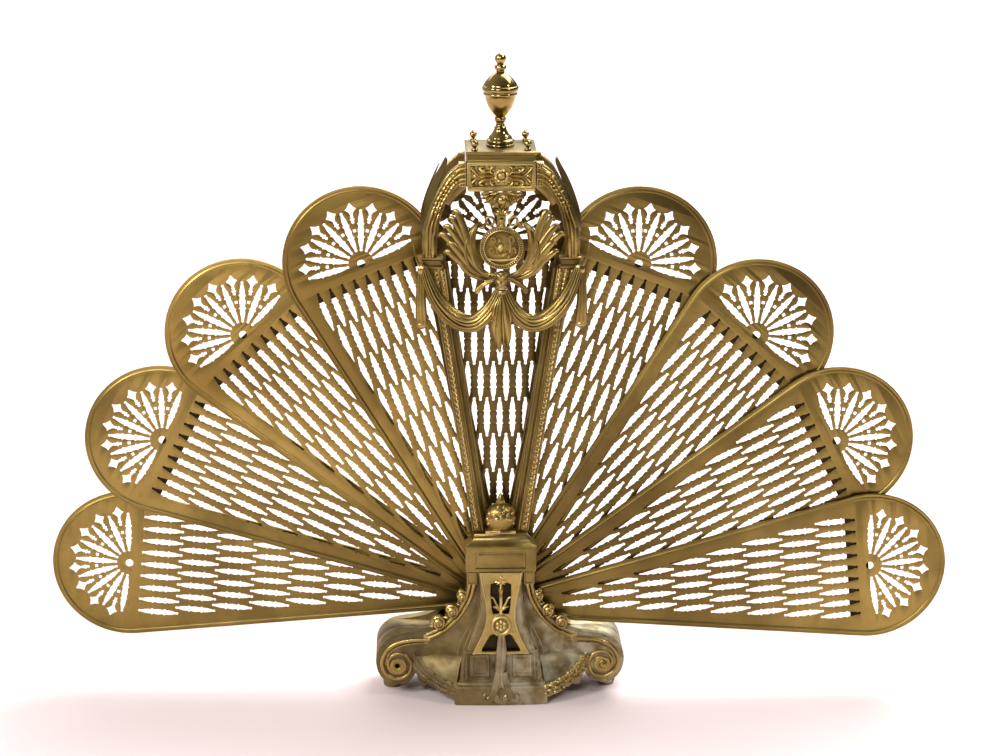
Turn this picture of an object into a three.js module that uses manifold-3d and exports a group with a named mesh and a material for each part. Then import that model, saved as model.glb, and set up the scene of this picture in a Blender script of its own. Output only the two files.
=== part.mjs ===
// Folding fan fireplace screen: nine brass leaves on one pivot bolt, between a front and a rear frame.
// Millimetres, +Z up, +X to the right, -Y towards the room. The origin is on the floor, under the middle
// of the object. The fan is modelled open, which is its rest position.
import * as THREE from "three";
import { mergeVertices } from "three/addons/utils/BufferGeometryUtils.js";
import Module from "manifold-3d";

const wasm = await Module();
wasm.setup();

// ---------- driving dimensions ----------
const GAP = 0.3; // between pieces that touch
const PIVOT_Z = 97;

const LEAF_COUNT = 9;
const CENTRE_LEAF = 5;
const LEAF_STEP = 21; // degrees from one open leaf to the next
const LEAF_PITCH = 4; // from one leaf to the next along the bolt
const SHEET = 0.8;
const LOBE_CENTRE = 402; // pivot to the middle of the round end
const LOBE_RADIUS = 82;
const BUTT_RADIUS = 11.8;
const RIM_WIDTH = 5.5;
const RIM_PROUD = 1.2;
const RIM_START = 34; // the raised rim begins this far out from the pivot
const EYE_RADIUS = 4.2; // round hole in the middle of the round end

const STRAP_WIDTH = 23;
const STRAP_HALF_LENGTH = 76;
const STRAP_TOP = 401;
const LUG_RADIUS = 2.2;
const LUG_DISTANCE = 390; // pivot to the stop lug
const LUG_DEPTH = 1.8;

const BOLT_RADIUS = 3;
const BOLT_HOLE = 3.4;
const SPACER_RADIUS = 8;

const STACK_FACE = 20.3; // the inner faces of the frames, either side of the leaves
const CONSOLE_DEPTH = 31; // seam to the face of a console
const PLINTH_HALF_WIDTH = 50;
const PLINTH_HEIGHT = 28;
const PLINTH_DEPTH = 59; // seam to the plinth's face at its corners
const PLINTH_BOW = 4; // how far the middle of that face stands out
const WALL = 4; // of the base castings
const PEDESTAL_TOP_FACE = 41.2; // seam to the pedestal's face under the collar
const PEDESTAL_SLOPE = 0.118; // how far that face comes forward for each millimetre down
const TRACERY_DEPTH = 3;
const VOLUTE_X = 111;
const VOLUTE_Z = 35;
const PAD_X = 116.5;
const PAD_RADIUS = 10.5;
const PAD_HEIGHT = 12.6;

const COLLAR_BOTTOM = 147;
const COLLAR_TOP = 187;
const COLLAR_HALF_WIDTH = 37.5;
const COLLAR_DEPTH = 44;
const COLLAR_WALL = 4;

const STRUT_FOOT = [24.2, COLLAR_TOP + GAP]; // x and z of a strut's centre line at the collar
const STRUT_HEAD = [67, 475.5]; // and under the capital
const STRUT_FACE = 30.5;

const CAPITAL_TOP = 488;
const ARCH_FACE = 38;
const HEAD_HALF_WIDTH = 35.3;
const HEAD_BOTTOM = 556;
const CAP_BOTTOM = 585.3;
const CAP_TOP = 596.7;
const MEDALLION_Z = 499.3;
const MEDALLION_RADIUS = 21.4;

// ---------- materials ----------
const metal = (color, roughness) => new THREE.MeshStandardMaterial({ color, roughness, metalness: 1 });
const leafBrass = metal(0xa8843e, 0.38);
const castBrass = metal(0x9c7a38, 0.42);
const baseBrass = metal(0x837153, 0.5);
const polishedBrass = metal(0xb8934a, 0.25);
const steel = metal(0x8c8a86, 0.45);

// ---------- helpers ----------
const screen = new THREE.Group();

function addPiece(name, geometry, material) {
  const mesh = new THREE.Mesh(geometry, material);
  mesh.name = name;
  screen.add(mesh);
  return mesh;
}

function toSolid(geometry) {
  const plain = geometry.index ? geometry.toNonIndexed() : geometry.clone();
  plain.deleteAttribute("normal");
  plain.deleteAttribute("uv");
  const merged = mergeVertices(plain, 1e-4);
  return new wasm.Manifold(new wasm.Mesh({
    numProp: 3,
    vertProperties: new Float32Array(merged.attributes.position.array),
    triVerts: new Uint32Array(merged.index.array),
  }));
}

function toGeometry(solid) {
  const mesh = solid.getMesh();
  const geometry = new THREE.BufferGeometry();
  geometry.setAttribute("position", new THREE.BufferAttribute(mesh.vertProperties, 3));
  geometry.setIndex(new THREE.BufferAttribute(mesh.triVerts, 1));
  geometry.computeVertexNormals();
  return geometry;
}

const join = (...geometries) => geometries.map(toSolid).reduce((all, one) => all.add(one));

// A flat outline in x and z, given thickness from y = near to y = far.
function slabY(shape, near, far, curveSegments = 8) {
  const geometry = new THREE.ExtrudeGeometry(shape, { depth: far - near, bevelEnabled: false, curveSegments });
  geometry.rotateX(Math.PI / 2);
  return geometry.translate(0, far, 0);
}

function box(x0, x1, y0, y1, z0, z1) {
  const geometry = new THREE.BoxGeometry(x1 - x0, y1 - y0, z1 - z0);
  return geometry.translate((x0 + x1) / 2, (y0 + y1) / 2, (z0 + z1) / 2);
}

// A round bar along Y.
function rodY(radius, near, far, x, z, sides = 16) {
  const geometry = new THREE.CylinderGeometry(radius, radius, far - near, sides);
  return geometry.translate(x, (near + far) / 2, z);
}

// A turned piece standing on z = 0, from [radius, height] pairs; the profile starts and ends on the axis.
function turned(profile, sides) {
  const geometry = new THREE.LatheGeometry(profile.map(([r, z]) => new THREE.Vector2(r, z)), sides);
  return geometry.rotateX(Math.PI / 2);
}

// A straight-sided outline, turned anticlockwise whichever way round its points are listed.
function polygon(points) {
  const corners = points.map(([x, z]) => new THREE.Vector2(x, z));
  return new THREE.Shape(THREE.ShapeUtils.isClockWise(corners) ? corners.reverse() : corners);
}

// A skin over level sections; each is [z, points in x and y, anticlockwise from above].
function loft(sections) {
  const ring = sections[0][1].length;
  const position = sections.flatMap(([z, points]) => points.flatMap(([x, y]) => [x, y, z]));
  const index = [];
  for (let k = 0; k + 1 < sections.length; k += 1) {
    for (let i = 0; i < ring; i += 1) {
      const a = k * ring + i;
      const b = k * ring + ((i + 1) % ring);
      index.push(a, b, b + ring, a, b + ring, a + ring);
    }
  }
  const cap = (k, flip) => {
    const outline = sections[k][1].map(([x, y]) => new THREE.Vector2(x, y));
    for (const [a, b, c] of THREE.ShapeUtils.triangulateShape(outline, [])) {
      index.push(...(flip ? [a, c, b] : [a, b, c]).map((i) => i + k * ring));
    }
  };
  cap(0, true);
  cap(sections.length - 1, false);
  const geometry = new THREE.BufferGeometry();
  geometry.setAttribute("position", new THREE.Float32BufferAttribute(position, 3));
  geometry.setIndex(index);
  return geometry;
}

// The same solid on the other side of the plane x = 0 or y = 0.
const mirrorX = (solid) => solid.mirror([1, 0, 0]);
const mirrorY = (solid) => solid.mirror([0, 1, 0]);

// ---------- the fan ----------
const sideAngle = Math.asin((LOBE_RADIUS - BUTT_RADIUS) / LOBE_CENTRE);

// The outline of a leaf moved in by inset: a small circle round the pivot and a large one, joined by tangents.
function leafOutline(inset, lobeSides = 20, buttSides = 6) {
  const points = [];
  const arc = (centre, radius, from, to, sides) => {
    for (let i = 0; i <= sides; i += 1) {
      const a = from + ((to - from) * i) / sides;
      points.push([radius * Math.cos(a), centre + radius * Math.sin(a)]);
    }
  };
  arc(LOBE_CENTRE, LOBE_RADIUS - inset, -sideAngle, Math.PI + sideAngle, lobeSides);
  arc(0, BUTT_RADIUS - inset, Math.PI + sideAngle, 2 * Math.PI - sideAngle, buttSides);
  return points;
}

function roundHole(radius, z, sides) {
  const hole = new THREE.Path();
  for (let i = 0; i < sides; i += 1) {
    const a = (2 * Math.PI * i) / sides;
    const point = [radius * Math.cos(a), z + radius * Math.sin(a)];
    if (i === 0) hole.moveTo(...point);
    else hole.lineTo(...point);
  }
  hole.closePath();
  return hole;
}

// One leaf, upright, pivot at the origin: sheet with a raised rim on its front.
function leafGeometry() {
  const sheet = polygon(leafOutline(0));
  sheet.holes.push(roundHole(BOLT_HOLE, 0, 12), roundHole(EYE_RADIUS, LOBE_CENTRE, 12));
  const plate = toSolid(slabY(sheet, -SHEET / 2, SHEET / 2));
  const rimFront = -SHEET / 2 - RIM_PROUD;
  const rim = polygon(leafOutline(0));
  rim.holes.push(new THREE.Path(leafOutline(RIM_WIDTH).map(([x, z]) => new THREE.Vector2(x, z))));
  const wide = 2 * LOBE_RADIUS;
  const nearPivot = box(-wide, wide, -wide, wide, -wide, RIM_START);
  const raised = toSolid(slabY(rim, rimFront, 0)).subtract(toSolid(nearPivot));
  return toGeometry(plate.add(raised));
}

// The stop strap behind a leaf, with the lug that runs between the rims of the next leaf back.
function strapGeometry() {
  const face = SHEET / 2 + GAP;
  const back = face + SHEET;
  const plate = box(-STRAP_HALF_LENGTH, STRAP_HALF_LENGTH, face, back, STRAP_TOP - STRAP_WIDTH, STRAP_TOP);
  const angle = THREE.MathUtils.degToRad(-LEAF_STEP / 2);
  const lugX = LUG_DISTANCE * Math.sin(angle);
  const lugZ = LUG_DISTANCE * Math.cos(angle);
  const lug = rodY(LUG_RADIUS, back - SHEET / 2, back + LUG_DEPTH, lugX, lugZ, 10);
  return toGeometry(join(plate, lug));
}

function spacerGeometry() {
  const ring = new THREE.Shape();
  ring.absarc(0, 0, SPACER_RADIUS, 0, 2 * Math.PI);
  ring.holes.push(roundHole(BOLT_HOLE, 0, 12));
  const half = (LEAF_PITCH - SHEET) / 2 - GAP;
  return slabY(ring, -half, half, 6);
}

function addFan() {
  const leaf = leafGeometry();
  const strap = strapGeometry();
  const spacer = spacerGeometry();
  for (let i = 1; i <= LEAF_COUNT; i += 1) {
    const holder = new THREE.Group();
    holder.position.set(0, (CENTRE_LEAF - i) * LEAF_PITCH, PIVOT_Z);
    holder.rotation.y = THREE.MathUtils.degToRad((i - CENTRE_LEAF) * LEAF_STEP);
    holder.add(addPiece(`leaf_${i}`, leaf, leafBrass));
    if (i > 1) {
      holder.add(addPiece(`stop_strap_${i}`, strap, leafBrass));
      const ring = addPiece(`spacer_${i - 1}`, spacer, steel);
      ring.position.set(0, holder.position.y + LEAF_PITCH / 2, PIVOT_Z);
    }
    screen.add(holder);
  }
}

// ---------- the pivot ----------
function addPivot() {
  const plateFace = STACK_FACE + WALL;
  const washerFace = plateFace + GAP;
  const nutFace = washerFace + 1.2 + GAP;
  const washer = toSolid(rodY(8, washerFace, washerFace + 1.2, 0, PIVOT_Z, 16))
    .subtract(toSolid(rodY(BOLT_HOLE, 0, 40, 0, PIVOT_Z, 12)));
  addPiece("washer_rear", toGeometry(washer), steel);
  addPiece("washer_front", toGeometry(mirrorY(washer)), steel);
  const shank = rodY(BOLT_RADIUS, -nutFace - 1, nutFace + 6.5, 0, PIVOT_Z, 12);
  const head = rodY(6.5, -nutFace - 4, -nutFace, 0, PIVOT_Z, 6);
  addPiece("pivot_bolt", toGeometry(join(shank, head)), steel);
  const nut = toSolid(rodY(6.5, nutFace, nutFace + 5, 0, PIVOT_Z, 6))
    .subtract(toSolid(rodY(BOLT_HOLE, 0, 50, 0, PIVOT_Z, 12)));
  addPiece("pivot_nut", toGeometry(nut), steel);
}

// ---------- the base ----------
// The consoles seen from the front, right half: from the collar down, out, round the volute and back to the plinth.
function consoleOutline() {
  const shape = new THREE.Shape();
  shape.moveTo(0, COLLAR_BOTTOM - GAP);
  shape.lineTo(35, COLLAR_BOTTOM - GAP);
  shape.lineTo(35, 131);
  shape.splineThru([[40, 113], [51, 96], [66, 84], [84, 78], [104, 75.5]].map((p) => new THREE.Vector2(...p)));
  shape.bezierCurveTo(124, 73, 134, 58, 134, 42);
  shape.bezierCurveTo(134, 24, 124, 13, 111, 13);
  shape.bezierCurveTo(98, 13, 91, 22, 90, 34);
  shape.quadraticCurveTo(72, 38, PLINTH_HALF_WIDTH - 2, 18);
  shape.lineTo(0, 18);
  return shape;
}

// Level sections of the pedestal: half width and depth of its face, then half width where it joins the consoles.
const PEDESTAL = [
  [14, 39, 92], [57, 33, 80], [80, 27, 62], [104, 19, 42], [131, 20, 34], [COLLAR_BOTTOM - GAP, 23, 36],
];
const pedestalFace = (z) => PEDESTAL_TOP_FACE + (COLLAR_BOTTOM - z) * PEDESTAL_SLOPE;

function pedestal(inset, back) {
  return loft(PEDESTAL.map(([z, face, wide], k) => {
    const front = -(pedestalFace(z) - inset);
    const w1 = face - inset;
    const w2 = wide - inset;
    const level = z + (k === 0 ? inset : 0) - (k === PEDESTAL.length - 1 ? inset : 0);
    const side = -(CONSOLE_DEPTH - inset);
    const hollow = [(w1 + w2) / 2 - 3, (front + side) / 2 + 4];
    const half = [[w1, front], hollow, [w2, side], [w2, back]];
    return [level, [...half.map(([x, y]) => [-x, y]).reverse(), ...half]];
  }));
}

// The front half of the base; the rear half is its mirror image, without the window behind the tracery.
function baseHalf(withWindow) {
  const seam = -GAP / 2;
  const right = toSolid(slabY(consoleOutline(), -CONSOLE_DEPTH, seam, 5));
  const slot = toSolid(box(-160, 160, -STACK_FACE, 1, 73, 200));
  const throat = toSolid(box(-46, 46, -STACK_FACE, 1, -1, 200));
  const plinthShape = [
    [PLINTH_HALF_WIDTH, -STACK_FACE], [-PLINTH_HALF_WIDTH, -STACK_FACE], [-PLINTH_HALF_WIDTH, -PLINTH_DEPTH],
    [-PLINTH_HALF_WIDTH * 0.6, -PLINTH_DEPTH - PLINTH_BOW * 0.8], [0, -PLINTH_DEPTH - PLINTH_BOW],
    [PLINTH_HALF_WIDTH * 0.6, -PLINTH_DEPTH - PLINTH_BOW * 0.8], [PLINTH_HALF_WIDTH, -PLINTH_DEPTH],
  ];
  const shrink = (by) => plinthShape.map(([x, y]) => [x * (1 - by / 50), y + (y < -STACK_FACE ? by : 0)]);
  const plinth = toSolid(loft([[0, plinthShape], [22, plinthShape], [PLINTH_HEIGHT, shrink(4)]]));
  const hollowPlinth = toSolid(box(-44, 44, -52, 1, 5, 22));
  let body = right.add(mirrorX(right)).add(toSolid(pedestal(0, -STACK_FACE))).add(plinth);
  body = body.subtract(toSolid(pedestal(WALL, 1))).subtract(hollowPlinth).subtract(slot).subtract(throat);
  const boltPlate = toSolid(box(-44, 44, -STACK_FACE - WALL, -STACK_FACE, 82, 112));
  body = body.add(boltPlate).subtract(toSolid(rodY(BOLT_HOLE, -40, 1, 0, PIVOT_Z, 12)));
  for (const side of [-1, 1]) {
    body = body.subtract(toSolid(rodY(2.6, -40, 1, side * VOLUTE_X, VOLUTE_Z, 10)));
  }
  if (withWindow) {
    const window = [[-9, 135], [9, 135], [6, 104], [19, 62], [-19, 62], [-6, 104]];
    body = body.subtract(toSolid(slabY(polygon(window), -70, -36)));
  }
  return body;
}

// The openwork panel on the sloping front of the pedestal, with its round boss.
function traceryGeometry() {
  const frame = polygon([[21.5, 145], [15.5, 104], [30, 58], [-30, 58], [-15.5, 104], [-21.5, 145]]);
  const windows = [[[2, 135], [11, 135], [7, 104], [2, 104]], [[3, 75], [8, 76], [19, 63], [3, 63]]];
  let plate = toSolid(slabY(frame, -TRACERY_DEPTH, 0));
  for (const outline of windows) {
    const window = toSolid(slabY(polygon(outline), -20, 1));
    plate = plate.subtract(window).subtract(mirrorX(window));
  }
  plate = plate.add(toSolid(rodY(10.5, -TRACERY_DEPTH - 4, -1, 0, 89, 16)));
  const lean = Math.atan(PEDESTAL_SLOPE);
  return toGeometry(plate).translate(0, 0, -COLLAR_BOTTOM).rotateX(-lean)
    .translate(0, -PEDESTAL_TOP_FACE - GAP, COLLAR_BOTTOM);
}

function addBase() {
  const front = baseHalf(true);
  addPiece("base_front", toGeometry(front), baseBrass);
  addPiece("base_rear", toGeometry(mirrorY(baseHalf(false))), baseBrass);
  addPiece("tracery_panel", traceryGeometry(), castBrass);
  const pad = turned([[0, 0], [PAD_RADIUS - 2, 0], [PAD_RADIUS, 2.5], [PAD_RADIUS, 8], [8, PAD_HEIGHT], [0, PAD_HEIGHT]], 14);
  for (const [name, x] of [["foot_pad_left", -PAD_X], ["foot_pad_right", PAD_X]]) {
    addPiece(name, pad, baseBrass).position.set(x, 0, 0);
  }
  const screwFace = -CONSOLE_DEPTH - GAP;
  const head = turned([[0, 0], [6.5, 0], [6.5, 1.2], [4.5, 3.4], [0, 4.6]], 14).rotateX(Math.PI / 2);
  head.translate(VOLUTE_X, screwFace, VOLUTE_Z);
  const shank = rodY(2.2, screwFace - 1, CONSOLE_DEPTH - 3, VOLUTE_X, VOLUTE_Z, 10);
  addPiece("volute_screw_right", toGeometry(join(head, shank)), castBrass);
}

// ---------- the collar ----------
function collarHalf() {
  const ring = (x, y) => [[-x, -STACK_FACE], [-x, -y], [x, -y], [x, -STACK_FACE]];
  const body = toSolid(loft([
    [COLLAR_BOTTOM, ring(COLLAR_HALF_WIDTH, COLLAR_DEPTH)],
    [174.5, ring(COLLAR_HALF_WIDTH, COLLAR_DEPTH)],
    [177, ring(33.5, 40.5)],
    [181, ring(30, 37.5)],
    [184, ring(28, 36)],
    [COLLAR_TOP, ring(28, 36)],
  ]));
  const hollow = box(-33.5, 33.5, -COLLAR_DEPTH + COLLAR_WALL, 1, COLLAR_BOTTOM + COLLAR_WALL, 171);
  return body.subtract(toSolid(hollow));
}

function addCollar() {
  const half = collarHalf();
  addPiece("collar_front", toGeometry(half), castBrass);
  addPiece("collar_rear", toGeometry(mirrorY(half)), castBrass);
  const dome = turned([[0, 0], [17, 0], [16, 6], [11.5, 11], [5, 13.6], [0, 14]], 16).rotateX(Math.PI / 2);
  dome.translate(0, -STRUT_FACE - GAP, 204.5);
  const drop = turned([[0, 0], [5, 0], [4, 3], [0, 5]], 8).rotateX(Math.PI / 2);
  drop.scale(1, 1, 2.4).translate(0, -STRUT_FACE - GAP, 222);
  addPiece("collar_rosette", toGeometry(join(dome, drop)), castBrass);
}

// ---------- the struts ----------
// One strut of the front frame, right side: a band with a splayed inner flange and a leafy block at its head.
function strutSolid(depth) {
  const [x0, z0] = STRUT_FOOT;
  const [x1, z1] = STRUT_HEAD;
  const slope = (x1 - x0) / (z1 - z0);
  const at = (z, out, y) => [x0 + (z - z0) * slope + out, -y];
  const section = (z) => [z, [
    at(z, -12.5, STACK_FACE), at(z, -12.5, STACK_FACE + 1.5), at(z, -5.5, depth - 1.5), at(z, -5.5, depth),
    at(z, 5.5, depth), at(z, 5.5, STACK_FACE),
  ]];
  const bar = toSolid(loft([section(z0), section(z1 - 8)]));
  const block = toSolid(loft([
    [442, [[54, -STACK_FACE], [54, -depth], [72, -depth], [72, -STACK_FACE]]],
    [z1, [[58, -STACK_FACE], [58, -depth - 4], [80, -depth - 4], [80, -STACK_FACE]]],
  ]));
  return bar.add(block);
}

function addStruts() {
  const front = strutSolid(STRUT_FACE);
  const rear = mirrorY(strutSolid(STRUT_FACE - 3));
  addPiece("strut_front_right", toGeometry(front), castBrass);
  addPiece("strut_front_left", toGeometry(mirrorX(front)), castBrass);
  addPiece("strut_rear_right", toGeometry(rear), castBrass);
  addPiece("strut_rear_left", toGeometry(mirrorX(rear)), castBrass);
}

// ---------- the arch and the head ----------
// One side of an arch, right half, with its capital below and the pointed leaf on its shoulder.
function archSolid(face) {
  const shape = new THREE.Shape();
  const through = (points) => points.map((p) => new THREE.Vector2(...p));
  shape.moveTo(66.2, CAPITAL_TOP - 1);
  shape.lineTo(81, CAPITAL_TOP - 1);
  shape.splineThru(through([[85.2, 510], [80.4, 537], [63, 567], [46, 584.5]]));
  shape.lineTo(HEAD_HALF_WIDTH + GAP, 584.5);
  shape.lineTo(HEAD_HALF_WIDTH + GAP, 559.5);
  shape.splineThru(through([[42, 557.5], [54.7, 541], [63.8, 515.5], [66.2, CAPITAL_TOP - 1]]));
  const band = slabY(shape, -face, -STACK_FACE - 0.7, 4);
  const tip = slabY(polygon([[84, 522], [75, 560], [56, 588], [62, 560]]), -29, -STACK_FACE - 0.7);
  const capital = loft([
    [STRUT_HEAD[1] + GAP, [[60, -STACK_FACE - 0.7], [60, -face + 1], [81, -face + 1], [81, -STACK_FACE - 0.7]]],
    [CAPITAL_TOP, [[60, -STACK_FACE - 0.7], [60, -face - 1], [82.5, -face - 1], [82.5, -STACK_FACE - 0.7]]],
  ]);
  return join(band, tip, capital);
}

function headPanel(face) {
  const body = box(-HEAD_HALF_WIDTH, HEAD_HALF_WIDTH, -face, -STACK_FACE - 1, HEAD_BOTTOM + 2.5, CAP_BOTTOM - GAP);
  const lower = box(-HEAD_HALF_WIDTH + 1, HEAD_HALF_WIDTH - 1, -face - 1, -STACK_FACE - 1, HEAD_BOTTOM, HEAD_BOTTOM + 4);
  return join(body, lower);
}

function capGeometry() {
  const ring = (x, y) => [[-x, y], [-x, -y], [x, -y], [x, y]];
  return loft([
    [CAP_BOTTOM, ring(36.5, 36)], [588, ring(36.5, 36)], [590, ring(38.5, 38)], [592.5, ring(38.5, 38)],
    [594.5, ring(36.5, 36)], [CAP_TOP, ring(36, 35.5)],
  ]);
}

function addHead() {
  const front = archSolid(ARCH_FACE);
  const rear = mirrorY(archSolid(ARCH_FACE - 6));
  addPiece("arch_front_right", toGeometry(front), castBrass);
  addPiece("arch_front_left", toGeometry(mirrorX(front)), castBrass);
  addPiece("arch_rear_right", toGeometry(rear), castBrass);
  addPiece("arch_rear_left", toGeometry(mirrorX(rear)), castBrass);
  addPiece("head_panel_front", toGeometry(headPanel(35)), castBrass);
  addPiece("head_panel_rear", toGeometry(mirrorY(headPanel(33))), castBrass);
  addPiece("head_cap", capGeometry(), castBrass);
  const knob = turned([[0, 0], [3, 0], [3, 1], [1.8, 2], [3.2, 4.5], [2.6, 7], [1.2, 8], [1.6, 9.4], [0, 10]], 8);
  for (const [name, x, y] of [
    ["corner_finial_front_left", -27, -27], ["corner_finial_front_right", 27, -27],
    ["corner_finial_rear_left", -27, 27], ["corner_finial_rear_right", 27, 27],
  ]) {
    addPiece(name, knob, polishedBrass).position.set(x, y, CAP_TOP + GAP);
  }
}

function urnGeometry() {
  return turned([
    [0, 0], [14.5, 0], [14.5, 2], [13.2, 2.6], [13.4, 5], [14, 6], [12, 8.5], [8, 12], [6.2, 17], [6.2, 19.4], [4.7, 20],
    [4.7, 24.5], [5.8, 25.2], [5.8, 28.5], [5, 29.2], [8, 33], [13, 41], [16.3, 51.5], [17.6, 52], [17.6, 54],
    [18.6, 57], [18.6, 60.5], [17.2, 62.6], [14, 67], [8, 72.5], [4.2, 75], [4.2, 77], [6, 78.2], [6, 82],
    [3.4, 83], [5.4, 86], [5.7, 89], [4, 93], [0, 94.5],
  ], 20);
}

// ---------- the ornaments of the arch ----------
// A bar of eight sides along a curve.
function roundBar(points, radius, steps) {
  const path = new THREE.CatmullRomCurve3(points.map((p) => new THREE.Vector3(...p)));
  const section = new THREE.Shape();
  section.absarc(0, 0, radius, 0, 2 * Math.PI);
  return new THREE.ExtrudeGeometry(section, { steps, bevelEnabled: false, extrudePath: path, curveSegments: 4 });
}

function cartoucheSolid() {
  const pendant = slabY(polygon([[22, 555.7], [16, 545], [5, 538], [4, 518], [-4, 518], [-5, 538], [-16, 545], [-22, 555.7]]), -43, -39);
  const frond = polygon([
    [-2, 463.5], [24, 474], [45, 495], [54, 507], [47, 509], [52, 522], [60, 535], [48, 531], [32, 512], [20, 484], [-2, 490],
  ]);
  const right = toSolid(slabY(frond, -44, -40));
  const disc = rodY(MEDALLION_RADIUS, -49, -40, 0, MEDALLION_Z, 24);
  return join(pendant, disc).add(right).add(mirrorX(right));
}

function garlandSolid() {
  const swag = roundBar([[80, -46, 474], [66, -44, 444], [46, -45, 421], [28, -46, 419], [12, -47, 434], [0, -47, 456]], 6.5, 12);
  const tail = slabY(polygon([[79, 472], [86, 471], [88.5, 440], [85, 418], [79, 419], [76, 440]]), -45, -37);
  const right = join(swag, tail);
  const tassel = turned([[0, 0], [5, 4], [9, 22], [6, 48], [3.5, 64], [5, 68], [0, 72]], 10);
  tassel.translate(0, -47, 387);
  const ribbon = slabY(polygon([[-2, 458], [24, 452], [27, 457], [4, 462.5], [-2, 462.5]]), -45, -41.5);
  const half = right.add(toSolid(ribbon));
  return half.add(mirrorX(half)).add(toSolid(tassel));
}

function addOrnaments() {
  addPiece("urn_finial", urnGeometry(), polishedBrass).position.set(0, 0, CAP_TOP + GAP);
  addPiece("cartouche", toGeometry(cartoucheSolid()), castBrass);
  addPiece("garland", toGeometry(garlandSolid()), castBrass);
}

addFan();
addPivot();
addBase();
addCollar();
addStruts();
addHead();
addOrnaments();

export default screen;
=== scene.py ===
"""Folding fan fireplace screen: pierced brass leaves between a cast front and rear frame."""
import math
import random

import bmesh
import bpy
from mathutils import Matrix, Vector


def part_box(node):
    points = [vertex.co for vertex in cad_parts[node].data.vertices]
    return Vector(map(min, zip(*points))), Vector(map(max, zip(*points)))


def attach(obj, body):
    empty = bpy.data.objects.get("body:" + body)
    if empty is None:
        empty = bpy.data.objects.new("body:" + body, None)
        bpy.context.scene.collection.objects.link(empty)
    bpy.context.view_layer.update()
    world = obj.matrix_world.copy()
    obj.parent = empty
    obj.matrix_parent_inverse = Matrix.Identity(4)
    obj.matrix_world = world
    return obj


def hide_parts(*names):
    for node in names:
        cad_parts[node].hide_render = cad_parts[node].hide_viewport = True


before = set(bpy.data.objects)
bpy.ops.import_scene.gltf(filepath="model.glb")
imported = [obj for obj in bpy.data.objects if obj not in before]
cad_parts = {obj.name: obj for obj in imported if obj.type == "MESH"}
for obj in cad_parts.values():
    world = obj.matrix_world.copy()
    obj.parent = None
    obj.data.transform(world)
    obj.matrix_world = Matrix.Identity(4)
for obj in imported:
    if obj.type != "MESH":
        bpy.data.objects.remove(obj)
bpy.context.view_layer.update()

random.seed(7)

# ---------- driving dimensions, in millimetres ----------
MM = 0.001
PIVOT_Z = 97
LEAF_STEP = 21  # degrees
LEAF_PITCH = 4
SHEET = 0.8
LOBE_CENTRE = 402
LOBE_RADIUS = 82
BUTT_RADIUS = 11.8
SIDE_ANGLE = math.asin((LOBE_RADIUS - BUTT_RADIUS) / LOBE_CENTRE)
LOBE_SIDES = 72
BUTT_SIDES = 14
RIM_START = 34
EYE_RADIUS = 4.2
BOLT_HOLE_RADIUS = 3.4

SLOT_ROWS = 8
FIRST_ROW = 367.5  # pivot to the middle of the outermost row of slots
ROW_PITCH = 39.7
SLOT_PITCH = 13.5
SLOT_LENGTH = 43.6
RAYS = 9
RAY_STEP = 21.25  # degrees

STACK_FACE = 20.3
STRUT_FACE = 30.5
ARCH_FACE = 38
ARCH_BACK = -STACK_FACE - 0.7
CONSOLE_FACE = 31
MEDALLION_Z = 499.3
FINIAL_X = 27
FOOT_PAD_X = 116.5
BASE_TOP = 146.7
FROND_BACK = 1.2  # how far a cast leaf's closed back lies behind its edges
ROOM_ACROSS = (-0.7, 0.7, 0.62, 0.16)  # where along X, and how bright there
ROOM_DEEP = (-0.8, 0.1, 0.35, 1.0)
FRONT = (0, -1, 0)
UP = (0, 0, 1)


# ---------- points and surfaces ----------
def spline(points, steps):
    """Points along a smooth curve through the given ones, steps to each span."""
    points = [Vector(p) for p in points]
    last = len(points) - 1
    result = []
    for k in range(last):
        a, b, c, d = (points[min(max(k + j, 0), last)] for j in (-1, 0, 1, 2))
        for i in range(steps):
            t = i / steps
            result.append(0.5 * (2 * b + (c - a) * t + (2 * a - 5 * b + 4 * c - d) * t * t
                                 + (3 * b - a - 3 * c + d) * t ** 3))
    result.append(points[-1])
    return result


def skin(rings, loop=False):
    """A closed surface over rings of points; loop joins the last ring to the first."""
    n = len(rings[0])
    verts = [tuple(p) for ring in rings for p in ring]
    faces = []
    for k in range(len(rings) if loop else len(rings) - 1):
        a = k * n
        b = ((k + 1) % len(rings)) * n
        for i in range(n):
            j = (i + 1) % n
            faces.append((a + i, a + j, b + j, b + i))
    if not loop:
        faces.append(tuple(range(n)))
        faces.append(tuple(range((len(rings) - 1) * n, len(rings) * n)))
    return verts, faces


def sweep(path, section, out=FRONT, size=None, loop=False):
    """A bar along a path. A section point is (to the right of the path, outwards)."""
    path = [Vector(p) for p in path]
    last = len(path) - 1
    rings = []
    for k, point in enumerate(path):
        before = path[k - 1] if loop or k > 0 else point
        after = path[(k + 1) % len(path)] if loop or k < last else point
        along = (after - before).normalized()
        side = along.cross(Vector(out)).normalized()
        lift = side.cross(along)
        scale = size(k / last) if size else 1
        rings.append([point + (side * a + lift * b) * scale for a, b in section])
    return skin(rings, loop)


def circle(radius, sides, flat=1.0):
    """A round section, flattened outwards by flat."""
    return [(radius * math.cos(2 * math.pi * i / sides), flat * radius * math.sin(2 * math.pi * i / sides))
            for i in range(sides)]


def lathe(profile, sides, at, out=UP):
    """A turned piece from (radius, height) pairs, its axis pointing out from a place."""
    axis = Vector(out).to_track_quat("Z", "Y").to_matrix()
    rings = []
    for radius, height in profile:
        ring = []
        for i in range(sides):
            a = 2 * math.pi * i / sides
            ring.append(Vector(at) + axis @ Vector((radius * math.cos(a), radius * math.sin(a), height)))
        rings.append(ring)
    return skin(rings)


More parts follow.
